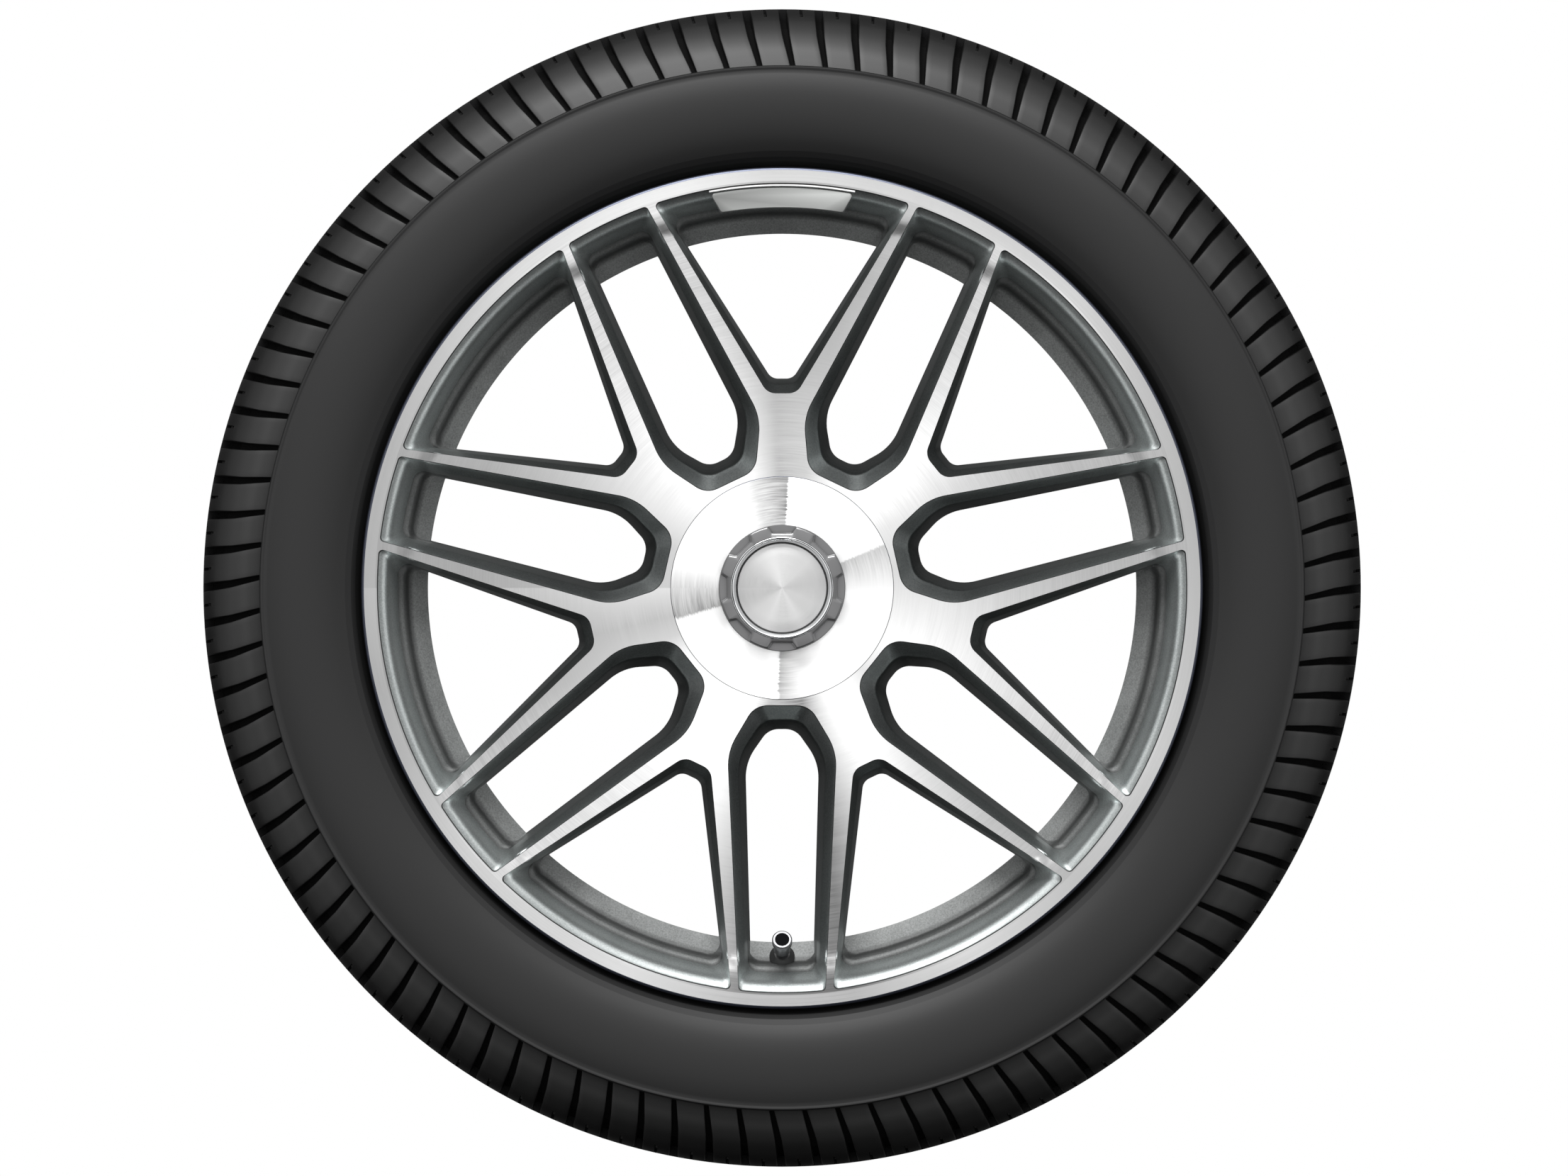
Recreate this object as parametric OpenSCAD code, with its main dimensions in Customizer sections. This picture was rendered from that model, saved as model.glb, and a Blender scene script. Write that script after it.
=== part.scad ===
// Forged alloy wheel with seven forked spokes, its tyre, a screwed hub cover and a clamped valve.
// The wheel turns about Y, its outer face looks towards -Y, and +Z is up.
// Every piece is drawn round Z with its outer side up, and whole() lays it down into that frame.

/* [Tyre] */
// Outer diameter over the tread
tyre_dia = 780.9; // [776:0.1:786]
// Widest width across the sidewalls
tyre_width = 282; // [278:1:288]
// Radius of the raised rib where the shoulder blocks begin
rib_r = 351.2; // [348:0.1:354]
// Thickness of the sidewall
sidewall = 9; // [7:0.5:11]
// Thickness of the tread above the cavity
tread_t = 17; // [15:0.5:20]
// Width of the flat part of the tread
tread_width = 206; // [196:1:212]
// Depth of the grooves round the tread
groove_depth = 7.5; // [5:0.5:9]
// Width of the grooves round the tread
groove_width = 10; // [7:0.5:12]
// Number of blocks round each shoulder
blocks = 100; // [80:1:110]
// Width of a shoulder groove at the tread
block_gap_out = 5.8; // [4:0.1:7]
// Width of a shoulder groove at the rib
block_gap_in = 3.3; // [2:0.1:4]
// Lean of a shoulder groove, in degrees round the wheel
block_lean = 1.17; // [0:0.01:1.8]
// Depth of the shoulder grooves
block_depth = 6; // [3:0.5:7]

/* [Rim] */
// Diameter of the bead seats
rim_dia = 533.4; // [531:0.1:536]
// Width between the flanges
rim_width = 241.3; // [236:0.1:246]
// Height of a flange above its seat
flange_h = 17.3; // [15.5:0.1:18.5]
// Thickness of a flange
flange_t = 11.85; // [10:0.05:14]
// Radius of the barrel's narrowest place, inside
well_r = 239.3; // [236:0.1:241]
// Thickness of the barrel
rim_wall = 5.6; // [4.5:0.1:7]

/* [Face] */
// Distance of the mounting face outside the middle plane
offset_et = 39; // [36:0.5:42]
// Height of the hub's face above the middle plane
hub_face = 111; // [108:0.5:114]
// Rise of the spokes from the hub to the rim
dish = 14; // [10:0.5:17]
// Width of the turned ring at the rim's edge
edge_ring = 10.6; // [9:0.1:12]
// Depth of a spoke at the rim
spoke_depth = 41; // [36:0.5:44]
// Number of spokes
spokes = 7; // [7:1:7]

/* [Forked window] */
// Height of the window's foot above the axis
fork_foot = 131.3; // [128:0.1:135]
// Half angle between its sides
fork_angle = 30.96; // [30:0.01:31.5]
// Height at which its sides would meet
fork_apex = 114.8; // [113:0.1:117]
// Radius of its lower corners
fork_corner = 10; // [5:0.5:11]

/* [Straight window] */
// Half width of the window at the rim
slot_half = 29.4; // [28:0.1:30.5]
// Growth of its half width for each millimetre towards the hub
slot_flare = 0.0471; // [0.03:0.0001:0.06]
// Height of its foot above the axis
slot_foot = 79.1; // [78.5:0.1:82]
// Half width of its foot
slot_foot_half = 18.5; // [16:0.1:20]
// Height at which its sides turn towards the foot
slot_turn = 110.2; // [107:0.1:113]

/* [Hub] */
// Diameter of the centre bore
bore_dia = 66.6; // [64:0.1:68]
// Circle of the wheel bolts
bolt_circle = 112; // [110:0.1:114]
// Number of wheel bolts
bolts = 5; // [4:1:6]
// Diameter of a bolt hole
bolt_hole = 15; // [13:0.1:16]
// Thickness of the plate that the bolts clamp
hub_plate = 17; // [15:0.5:19]
// Diameter of the mounting face
pad_dia = 156; // [150:1:160]
// Diameter of the recess for the bolt heads
recess_dia = 142; // [140:0.5:143]

/* [Hub cover] */
// Diameter of the cover
cover_dia = 150.2; // [149.5:0.1:150.6]
// Thickness of the cover
cover_t = 3; // [2.5:0.1:3.5]
// Diameter of the cap nut
nut_dia = 85.4; // [84:0.1:88]
// Height of the cap nut above the cover
nut_h = 11; // [10:0.5:14]
// Number of notches in the nut
notches = 8; // [6:1:8]
// Width of a notch at the nut's edge
notch_out = 17.8; // [15:0.1:19]
// Width of a notch at its floor
notch_in = 12.7; // [11:0.1:14]
// Radius of a notch's floor
notch_r = 36.2; // [35.8:0.1:38]
// Outer diameter of the bright ring
bezel_dia = 69.2; // [68:0.1:69.6]
// Inner diameter of the bright ring
bezel_in = 60.6; // [58:0.1:62]
// Diameter of the nut's thread
nut_thread = 62; // [58:0.5:62.5]
// Lead of the nut's thread
nut_pitch = 4; // [3:0.1:4.2]
// Turns that free the nut
nut_turns = 3; // [2:1:3]

/* [Valve] */
// Radius at which the valve's foot stands
valve_r = 249; // [248.5:0.1:249.5]
// Height of the valve's foot above the middle plane
valve_z = 91.5; // [90.5:0.1:92.5]
// Tilt of the valve towards the axis
valve_tilt = 25; // [23:0.5:27]
// Length from the foot to the cap's face
valve_len = 28.2; // [27:0.1:30]
// Diameter of the hole for the valve
valve_hole = 11.5; // [11:0.1:12]
// Diameter of the rubber foot
grommet_dia = 17; // [16:0.1:18]
// Diameter of the metal stem
stem_dia = 8.2; // [7.9:0.1:8.6]
// Diameter of the stem's thread
stem_thread = 7.7; // [7.3:0.1:7.8]
// Diameter of the valve cap's face
cap_dia = 13.6; // [13:0.1:14.4]
// Diameter of the valve cap's sleeve
sleeve_dia = 11; // [10.4:0.1:12]
// Length of the valve cap
cap_len = 16; // [14.5:0.1:17]
// Diameter of the cap's plain insert
insert_dia = 9.6; // [8.5:0.1:10.2]
// Diameter of the bore for the valve core
core_bore = 5.2; // [5:0.1:5.6]
// Travel of the core's pin
pin_travel = 1.3; // [1:0.1:1.6]

/* [Clearances] */
// Gap between the cover and the wheel, all round
cover_gap = 0.3; // [0.2:0.05:0.4]
// Gap all round a thread or a turning fit
thread_gap = 0.1; // [0.06:0.01:0.14]
// Gap between parts that only rest on each other
seat_gap = 0.05; // [0.02:0.01:0.1]
// Gap between the bead and the rim
bead_gap = 0.25; // [0.15:0.05:0.3]

/* [Hidden] */
$fn = 96;
past = 1;

// Rim and tyre, from the sizes above
tyre_r = tyre_dia / 2;
seat_r = rim_dia / 2;
seat_z = rim_width / 2;
rim_z = seat_z + flange_t;
flange_r = seat_r + flange_h;
well_out = well_r + rim_wall;
flange_lip = 1.5;
flange_bend = 7;
toe_bend = 6.5;
seat_len = 22;
seat_drop = 1.4;
hump_h = 0.5;
hump_len = 5;
pocket_r = flange_r - edge_ring;

// Face of the wheel: a shallow cone that bends up to the turned ring
cover_seat_r = cover_dia / 2 + cover_gap;
bend_r = 245;
bend_len = 17;
cone = dish / (bend_r - cover_seat_r);
function cone_z(r) = hub_face + cone * (r - cover_seat_r);
pad_r = pad_dia / 2;
bore_r = bore_dia / 2;
plate_z = offset_et + hub_plate;
recess_r = recess_dia / 2;
spigot_depth = 6;
spigot_r = bore_r + 1.9;
gasket_t = 1.2;
rebate_z = hub_face - cover_t - gasket_t - 2 * seat_gap;
band_r = valve_r + 1.5;
lip_r = valve_r + grommet_dia / 2 + 2;
function band_z(r) = valve_z + (r - valve_r) * tan(valve_tilt);

// Windows: each row has the depth below the face cone, the share of the wall's slope and the outer radius
edge_d = cone_z(pocket_r) - rim_z;
band_d = cone_z(band_r) - band_z(band_r);
inner_r = well_r - 0.4;
inner_d = cone_z(inner_r) - band_z(inner_r);
over = 0.3;
wall_rows = [
    [edge_d - over, 0, pocket_r + over],
    [edge_d + 3, 0, pocket_r - 3],
    [12, 0.5, pocket_r - 9],
    [band_d - 8, 0.78, band_r + 7.7],
    [band_d - 3.4, 0.86, band_r + 5.5],
    [band_d, 0.92, band_r],
    [inner_d, 1, inner_r]
];
window_top = rim_z + past;
window_foot = offset_et - past;
slot_foot_deep = slot_foot + 16.1;
fork_foot_deep = fork_foot + 10;
slot_angle = 360 / spokes;

// Hub cover and nut
nut_r = nut_dia / 2;
neck_r = nut_thread / 2;
nut_base = hub_face + 1.6;
nut_top = nut_base + nut_h;
lip_t = 3;
web_t = 3;
bezel_r = bezel_dia / 2;
bezel_z = nut_base + web_t + 1.5;
carrier_r = neck_r + thread_gap + 4;
carrier_top = plate_z + 42;
neck_foot = carrier_top - nut_pitch * nut_turns - 3;
ring_z = hub_face - cover_t - 3;
seal_r = nut_r - 4.3;
seal_wire = 1;

// Valve, along its own axis from the foot
stem_r = stem_dia / 2;
stem_top = valve_len - 4;
cap_foot = valve_len - cap_len;
thread_z = cap_foot - 1;
core_r = core_bore / 2;
core_top = stem_top - 1;
core_len = 7;
pin_r = 0.55;
pin_hole = 0.75;
pin_foot = core_top - core_len - 5;
grommet_foot = -(rim_wall + 4.2);
foot_len = 7;
stem_foot = grommet_foot - foot_len;
foot_r = 6.4;
pin_head = 0.6;
passage_r = 1.1;
spring_r = 1.35;
spring_wire = 0.3;
spring_coils = 5;
spring_sides = 6;
spring_steps = 14;
spring_foot = pin_foot - 2.6;
screw_r = 1.6;
sensor_len = 44;
sensor_w = 13;
sensor_deep = 15;

function unit(v) = v / norm(v);
function mix(a, b, t) = a + (b - a) * t;
function ring_arc(c, r, from, to, n) = [for (i = [0:n]) let (a = mix(from, to, i / n)) c + r * [cos(a), sin(a)]];
function turned_back(list) = [for (i = [len(list) - 1:-1:0]) list[i]];
function flipped(list) = [for (p = turned_back(list)) [p[0], -p[1]]];

// Points of an arc that rounds the corner at p between the lines to a and to b
function corner(a, p, b, r, n) =
    let (u = unit(a - p), v = unit(b - p))
    let (half = acos(u * v) / 2, c = p + unit(u + v) * r / sin(half))
    let (s = p + u * r / tan(half) - c, e = p + v * r / tan(half) - c)
    let (from = atan2(s[1], s[0]), to = atan2(e[1], e[0]))
    let (turn = to - from > 180 ? -360 : to - from < -180 ? 360 : 0)
    ring_arc(c, r, from, to + turn, n);

// Lays a piece drawn round Z into the wheel's frame
module whole() {
    rotate([90, 0, 0])
        children();
}

// Places a piece at the valve's foot, with Z along the valve
module at_valve() {
    translate([0, -valve_r, valve_z])
        rotate([-valve_tilt, 0, 0])
            children();
}

module turned(points) {
    rotate_extrude(convexity = 8)
        polygon(points);
}

module disc_ring(r_in, r_out, z, h) {
    turned([[r_in, z], [r_out, z], [r_out, z + h], [r_in, z + h]]);
}

// Tyre side of one rim edge, from the flange's tip down to the end of the hump, as radius and height
function rim_edge() = concat(
    [[flange_r - flange_lip, rim_z], [flange_r, rim_z - flange_lip]],
    ring_arc([flange_r - flange_bend, seat_z + flange_bend], flange_bend, 0, -90, 4),
    ring_arc([seat_r + toe_bend, seat_z - toe_bend], toe_bend, 90, 180, 4),
    [
        [seat_r - seat_drop, seat_z - seat_len],
        [seat_r + hump_h, seat_z - seat_len - hump_len * 0.6],
        [seat_r + hump_h, seat_z - seat_len - hump_len]
    ]
);

// Outline of the forging before its windows are cut
function wheel_outline() = concat(
    rim_edge(),
    [
        [seat_r - 3, seat_z - seat_len - hump_len - 3],
        [lip_r, band_z(lip_r) - rim_wall / cos(valve_tilt)],
        [well_out, band_z(well_out) - rim_wall / cos(valve_tilt)],
        [well_out, 40],
        [well_out + 7, 26],
        [well_out + 13, -40],
        [seat_r - 5, -seat_z + seat_len + hump_len + 6]
    ],
    flipped(rim_edge()),
    [
        [flange_r - 6, -rim_z],
        [flange_r - 9, -rim_z + 5],
        [seat_r - 4, -seat_z + 3],
        [seat_r - 7.5, -seat_z + seat_len],
        [seat_r - 10.5, -seat_z + seat_len + 14],
        [well_r + 12.5, -40],
        [well_r + 7, 24],
        [well_r, 38],
        [well_r, cone_z(well_r) - spoke_depth],
        [150, cone_z(150) - spoke_depth - 3],
        [112, cone_z(112) - spoke_depth - 10],
        [pad_r + 16, offset_et + 13],
        [pad_r + 3, offset_et + 3],
        [pad_r, offset_et],
        [bore_r + 1, offset_et],
        [bore_r, offset_et + 1],
        [bore_r, plate_z - spigot_depth],
        [spigot_r, plate_z - spigot_depth],
        [spigot_r, plate_z],
        [recess_r, plate_z],
        [recess_r, rebate_z],
        [cover_seat_r, rebate_z],
        [cover_seat_r, hub_face],
        [bend_r, cone_z(bend_r)],
        [bend_r + bend_len * 0.4, mix(cone_z(bend_r), rim_z, 0.6)],
        [bend_r + bend_len * 0.7, mix(cone_z(bend_r), rim_z, 0.9)],
        [bend_r + bend_len, rim_z]
    ]
);

// Right half of the forked window at share t of its walls, with the outer radius given
function fork_half(t, r_out) =
    let (k = mix(tan(fork_angle), 0.635, t), apex = mix(fork_apex, fork_apex + 15.2, t))
    let (foot = mix(fork_foot, fork_foot_deep, t))
    let (p1 = [k * (foot - apex), foot])
    let (y2 = (k * k * apex + sqrt(r_out * r_out * (1 + k * k) - k * k * apex * apex)) / (1 + k * k))
    let (p2 = [k * (y2 - apex), y2], round_out = mix(3, 8, t))
    let (end = p2 + [-p2[1], p2[0]] * 0.1)
    window_half([0, foot], [p1], p2, end, [mix(fork_corner, 8, t)], round_out, r_out, 7);

// Right half of the straight window, in the same way
function slot_half_outline(t, r_out) =
    let (flare = mix(slot_flare, 0.027, t), turn = mix(slot_turn, slot_turn + 7.4, t))
    let (w = mix(slot_half, slot_half - 7.9, t), foot = mix(slot_foot, slot_foot_deep, t))
    let (y2 = sqrt(r_out * r_out - w * w))
    let (p3 = [w, y2], p2 = [w + flare * (y2 - turn), turn])
    let (p1 = [mix(slot_foot_half, slot_foot_half - 9.5, t), foot])
    let (end = p3 + [-p3[1], p3[0]] * 0.1)
    window_half([0, foot], [p1, p2], p3, end, [mix(11, 8, t), mix(28, 20, t)], mix(3, 8, t), r_out, 3);

// Points from the foot's middle round to the middle of the outer arc
function window_half(start, turns, last, end, radii, round_out, r_out, n) =
    let (path = concat([start], turns, [last, end]))
    let (low = [for (i = [0:len(turns) - 1]) each corner(path[i], path[i + 1], path[i + 2], radii[i], 3)])
    let (m = len(path) - 2, high = corner(path[m - 1], path[m], path[m + 1], round_out, 3))
    let (tip = high[len(high) - 1], a = atan2(tip[1], tip[0]))
    concat(low, high, [for (i = [1:n]) let (b = mix(a, 90, i / (n + 0.5))) r_out * [cos(b), sin(b)]]);

function both_halves(half) = concat(half, [for (p = turned_back(half)) [-p[0], p[1]]]);

// Outlines of a window at every depth, from above the face to below the hub's plate
function window_rings(fork) = [
    for (row = concat([[0, 0, pocket_r + 0.5]], wall_rows, [[0, 1, inner_r]]))
        both_halves(fork ? fork_half(row[1], row[2]) : slot_half_outline(row[1], row[2]))
];

function ring_depths(rings) = [
    for (i = [0:len(rings) - 1])
        [for (p = rings[i])
            let (z = i == 0 ? window_top : window_foot)
            let (inside = i > 0 && i < len(rings) - 1)
            [p[0], p[1], inside ? cone_z(norm(p)) - wall_rows[i - 1][0] : z]]
];

// Closed skin over rings of points that are stacked from the top down
module skin(rings) {
    n = len(rings[0]);
    last = (len(rings) - 1) * n;
    sides = [
        for (i = [0:len(rings) - 2], j = [0:n - 1])
            let (a = i * n + j, b = i * n + (j + 1) % n)
            each [[a, b, b + n], [a, b + n, a + n]]
    ];
    top = [for (j = [1:n - 2]) [0, j + 1, j]];
    foot = [for (j = [1:n - 2]) [last, last + j, last + j + 1]];
    polyhedron([for (r = rings) each r], concat(sides, top, foot), convexity = 6);
}

module windows() {
    for (i = [0:spokes - 1])
        rotate(i * slot_angle) {
            skin(ring_depths(window_rings(true)));
            rotate(slot_angle / 2)
                skin(ring_depths(window_rings(false)));
        }
}

// Plain raised pad on the outer wall of the topmost window
module rim_pad() {
    pad_out = pocket_r - 3.9;
    pad_in = pad_out - 11.3;
    pad_half = 48;
    pad_slope = 7.5;
    out = [for (i = [-6:6]) let (x = i / 6 * pad_half) [x, sqrt(pow(pad_out + 4, 2) - x * x)]];
    in = [for (i = [6:-1:-6]) let (x = i / 6 * (pad_half - pad_slope)) [x, sqrt(pow(pad_in, 2) - x * x)]];
    intersection() {
        translate([0, 0, rim_z - 33])
            linear_extrude(25)
                polygon(concat(out, in));
        turned([
            [pad_in - 5, rim_z - 34],
            [pocket_r - 13, rim_z - 34],
            [pocket_r - 8.2, rim_z - 18],
            [pocket_r - 3.5, rim_z - 10],
            [pocket_r - 1.5, rim_z - 7],
            [pad_in - 5, rim_z - 7]
        ]);
    }
}

module alloy_wheel() {
    color("silver")
        whole()
            difference() {
                union() {
                    difference() {
                        turned(wheel_outline());
                        windows();
                    }
                    rim_pad();
                }
                for (i = [0:bolts - 1])
                    rotate(90 + i * 360 / bolts)
                        translate([bolt_circle / 2, 0, offset_et - past]) {
                            cylinder(d = bolt_hole, h = hub_plate + 2 * past);
                            translate([0, 0, past + hub_plate - 6])
                                cylinder(d1 = bolt_hole, d2 = bolt_hole + 14, h = 7);
                        }
                at_valve() {
                    translate([0, 0, -rim_wall - 12])
                        cylinder(d = valve_hole, h = rim_wall + 14);
                    cylinder(d = grommet_dia + 4, h = 12);
                }
            }
}

// Outer outline of half the tyre, from the bead's toe over the sidewall to the middle of the tread
shoulder_z = tread_width / 2;
wall_z = tyre_width / 2;
function tyre_outside() = concat(
    [[seat_r - seat_drop + 0.4 + bead_gap, seat_z - seat_len + 4], [seat_r + bead_gap, seat_z - toe_bend]],
    turned_back(ring_arc([seat_r + toe_bend, seat_z - toe_bend], toe_bend - bead_gap, 90, 180, 4)),
    ring_arc([flange_r - flange_bend, seat_z + flange_bend], flange_bend + bead_gap + 0.15, -90, -8, 4),
    [
        [flange_r + 3, seat_z + 10.5],
        [flange_r + 9, wall_z - 6],
        [flange_r + 20, wall_z - 2],
        [flange_r + 34, wall_z],
        [flange_r + 46, wall_z - 0.2],
        [rib_r - 6, wall_z - 2.6],
        [rib_r - 1.2, wall_z - 4],
        [rib_r - 0.6, wall_z - 3.2],
        [rib_r + 0.6, wall_z - 3.4]
    ],
    shoulder(0)
);

// Outline of the shoulder, at the given depth below its surface
function shoulder(deep) = [
    [rib_r + 1.4, wall_z - 5 - deep],
    [rib_r + 12, wall_z - 9.4 - deep],
    [tyre_r - 15, wall_z - 17.5 - deep],
    [tyre_r - 6.5 - deep * 0.6, wall_z - 26 - deep * 0.8],
    [tyre_r - 2 - deep, shoulder_z + 3 - deep * 0.3],
    [tyre_r - 0.5 - deep, shoulder_z - 12]
];

groove_places = [0.18, 0.58];
function tread_groove(z) = [
    [tyre_r, z + groove_width / 2],
    [tyre_r - groove_depth, z + groove_width / 2 - 1.2],
    [tyre_r - groove_depth, z - groove_width / 2 + 1.2],
    [tyre_r, z - groove_width / 2]
];
function tyre_half() = concat(
    tyre_outside(),
    tread_groove(groove_places[1] * shoulder_z),
    tread_groove(groove_places[0] * shoulder_z)
);
function tyre_cavity() = [
    [tyre_r - tread_t, 0],
    [tyre_r - tread_t - 1, shoulder_z * 0.6],
    [tyre_r - tread_t - 8, shoulder_z - 2],
    [rib_r - 4, wall_z - 9 - sidewall],
    [flange_r + 46, wall_z - sidewall - 1],
    [flange_r + 20, wall_z - sidewall - 3],
    [flange_r - 2, seat_z + 8 - sidewall],
    [seat_r + 6, seat_z - seat_len + 3]
];

// Comb of narrow gaps that is joined outside the tyre
module block_gaps() {
    function gap(a, r, lean, w, side) =
        let (b = a - lean) r * [cos(b), sin(b)] + side * w / 2 * [-sin(b), cos(b)];
    mid_r = mix(rib_r, tyre_r, 0.5);
    mid_w = mix(block_gap_in, block_gap_out, 0.55);
    comb = [
        for (i = [0:blocks - 1])
            let (a = i * 360 / blocks)
            each [
                gap(a, tyre_r + 2, 0, block_gap_out, -1),
                gap(a, mid_r, block_lean * 0.35, mid_w, -1),
                gap(a, rib_r + 0.9, block_lean, block_gap_in, -1),
                gap(a, rib_r + 0.9, block_lean, block_gap_in, 1),
                gap(a, mid_r, block_lean * 0.35, mid_w, 1),
                gap(a, tyre_r + 2, 0, block_gap_out, 1)
            ]
    ];
    difference() {
        circle(r = tyre_r + 4);
        polygon(comb);
    }
}

// Space that the gaps may take: a skin of the shoulder
function shoulder_skin() = concat(
    turned_back(shoulder(block_depth)),
    [
        [rib_r + 1.4 - 3, wall_z - 5 - block_depth],
        [rib_r + 1.4 - 3, wall_z + 3],
        [tyre_r + 6, wall_z + 3],
        [tyre_r + 6, shoulder_z - 12]
    ]
);

module tyre() {
    color("dimgray")
        whole()
            difference() {
                turned(concat(
                    tyre_half(),
                    flipped(tyre_half()),
                    flipped(tyre_cavity()),
                    tyre_cavity()
                ));
                for (side = [0, 1])
                    mirror([0, 0, side])
                        intersection() {
                            turned(shoulder_skin());
                            translate([0, 0, shoulder_z - 20])
                                linear_extrude(60)
                                    block_gaps();
                        }
            }
}

module hub_cover() {
    r = cover_dia / 2;
    z = hub_face;
    rib_in = recess_r - 5;
    color("gainsboro")
        whole()
            turned([
                [neck_r + thread_gap + 0.3, z + 1.2 - cover_t],
                [rib_in, z - cover_t],
                [rib_in, z - cover_t - 9],
                [rib_in + 2.5, z - cover_t - 9],
                [rib_in + 2.5, z - cover_t],
                [r, z - cover_t],
                [r, z - 0.5],
                [r - 0.5, z],
                [nut_r + 1, z + 1.2],
                [neck_r + thread_gap + 0.3, z + 1.2]
            ]);
}

module cover_gasket() {
    color("black")
        whole()
            disc_ring(recess_r + 0.3, cover_dia / 2 - 0.3, rebate_z + seat_gap, gasket_t);
}

module cap_carrier() {
    color("darkgray")
        whole()
            turned([
                [bore_r - 4, plate_z - spigot_depth + seat_gap],
                [spigot_r - seat_gap, plate_z - spigot_depth + seat_gap],
                [spigot_r - seat_gap, plate_z + seat_gap],
                [bolt_circle / 2 - bolt_hole - 1, plate_z + seat_gap],
                [bolt_circle / 2 - bolt_hole - 1, plate_z + 3],
                [carrier_r, plate_z + 3],
                [carrier_r, carrier_top],
                [neck_r + thread_gap, carrier_top],
                [neck_r + thread_gap, plate_z + 6],
                [bore_r - 4, plate_z + 6]
            ]);
}

module retaining_ring() {
    color("slategray")
        whole()
            disc_ring(neck_r - 1.4 + seat_gap, neck_r + 4, ring_z, 1.4);
}

module cap_nut() {
    color("gray")
        whole()
            difference() {
                turned([
                    [0, nut_base],
                    [neck_r - 5, nut_base],
                    [neck_r - 5, neck_foot],
                    [neck_r, neck_foot],
                    [neck_r, ring_z - seat_gap],
                    [neck_r - 1.4, ring_z - seat_gap],
                    [neck_r - 1.4, ring_z + 1.4 + seat_gap],
                    [neck_r, ring_z + 1.4 + seat_gap],
                    [neck_r, nut_base],
                    [seal_r - seal_wire - seat_gap, nut_base],
                    [seal_r - seal_wire - seat_gap, nut_base + 1.8],
                    [seal_r + seal_wire + seat_gap, nut_base + 1.8],
                    [seal_r + seal_wire + seat_gap, nut_base],
                    [nut_r, nut_base],
                    [nut_r, nut_top - 2],
                    [nut_r - 1.8, nut_top],
                    [bezel_r + seat_gap, nut_top],
                    [bezel_r + seat_gap, bezel_z],
                    [0, bezel_z]
                ]);
                for (i = [0:notches - 1])
                    rotate(i * 360 / notches)
                        translate([0, 0, nut_base + lip_t])
                            linear_extrude(nut_h)
                                polygon([
                                    [-notch_in / 2, notch_r],
                                    [notch_in / 2, notch_r],
                                    [notch_out / 2, nut_r - 2.1],
                                    [notch_out / 2 + 3, nut_r + 3],
                                    [-notch_out / 2 - 3, nut_r + 3],
                                    [-notch_out / 2, nut_r - 2.1]
                                ]);
            }
}

module cap_seal() {
    color("black")
        whole()
            rotate_extrude()
                translate([seal_r, nut_base + 1.8 - seat_gap - seal_wire])
                    circle(r = seal_wire, $fn = 24);
}

module cap_bezel() {
    r_in = bezel_in / 2;
    z = bezel_z + seat_gap;
    color("whitesmoke")
        whole()
            turned([
                [r_in, z],
                [bezel_r, z],
                [bezel_r, nut_top + 0.3],
                [bezel_r - 0.8, nut_top + 1],
                [bezel_r - 2, nut_top + 0.9],
                [r_in + 0.6, z + 2.6],
                [r_in, z + 2.2]
            ]);
}

module cap_disc() {
    r = bezel_in / 2 - seat_gap;
    z = bezel_z + seat_gap;
    color("lightgray")
        whole()
            turned([[0, z], [r, z], [r, z + 1.4], [r - 0.4, z + 1.8], [r * 0.5, z + 2.3], [0, z + 2.5]]);
}

module valve_grommet() {
    r = grommet_dia / 2;
    hole = valve_hole / 2 - seat_gap;
    inside = -rim_wall - seat_gap;
    color("black")
        whole()
            at_valve()
                turned([
                    [stem_r + seat_gap, grommet_foot],
                    [r - 2.3, grommet_foot],
                    [r - 1.5, inside],
                    [hole, inside],
                    [hole, seat_gap],
                    [r, seat_gap],
                    [r, 1.6],
                    [r - 1.6, 3.4],
                    [stem_r + 1, 5.4],
                    [stem_r + seat_gap, 5.4]
                ]);
}

module valve_stem() {
    thread_r = stem_thread / 2;
    color("silver")
        whole()
            at_valve()
                difference() {
                    turned([
                        [0, stem_foot],
                        [foot_r, stem_foot],
                        [foot_r, grommet_foot - seat_gap],
                        [stem_r, grommet_foot - seat_gap],
                        [stem_r, thread_z - 1],
                        [thread_r, thread_z],
                        [thread_r, stem_top - 0.6],
                        [thread_r - 0.6, stem_top],
                        [0, stem_top]
                    ]);
                    translate([0, 0, core_top - core_len - 1])
                        cylinder(r = core_r, h = valve_len);
                    translate([0, 0, spring_foot])
                        cylinder(r = core_r - 0.6, h = valve_len);
                    translate([0, 0, stem_foot + foot_len - 2])
                        cylinder(r = passage_r, h = valve_len);
                    translate([0, 0, stem_foot + foot_len - 2])
                        rotate([90, 0, 0])
                            cylinder(r = passage_r, h = 2 * foot_r + 2 * past, center = true);
                    translate([0, 0, stem_foot - past])
                        cylinder(r = screw_r + seat_gap, h = foot_len - 4 + past);
                }
}

module valve_core_barrel() {
    color("goldenrod")
        whole()
            at_valve()
                turned([
                    [pin_hole, core_top - core_len],
                    [core_r - 0.5, core_top - core_len],
                    [core_r - 0.5, core_top - core_len + 1.6],
                    [core_r - seat_gap, core_top - core_len + 1.6],
                    [core_r - seat_gap, core_top],
                    [pin_hole + 0.9, core_top],
                    [pin_hole + 0.9, core_top - pin_head - pin_travel - 0.1],
                    [pin_hole, core_top - pin_head - pin_travel - 0.1]
                ]);
}

module valve_core_seal() {
    color("crimson")
        whole()
            at_valve()
                disc_ring(core_r - 0.5 + seat_gap, core_r - seat_gap, core_top - core_len + 0.1, 1.4);
}

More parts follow.
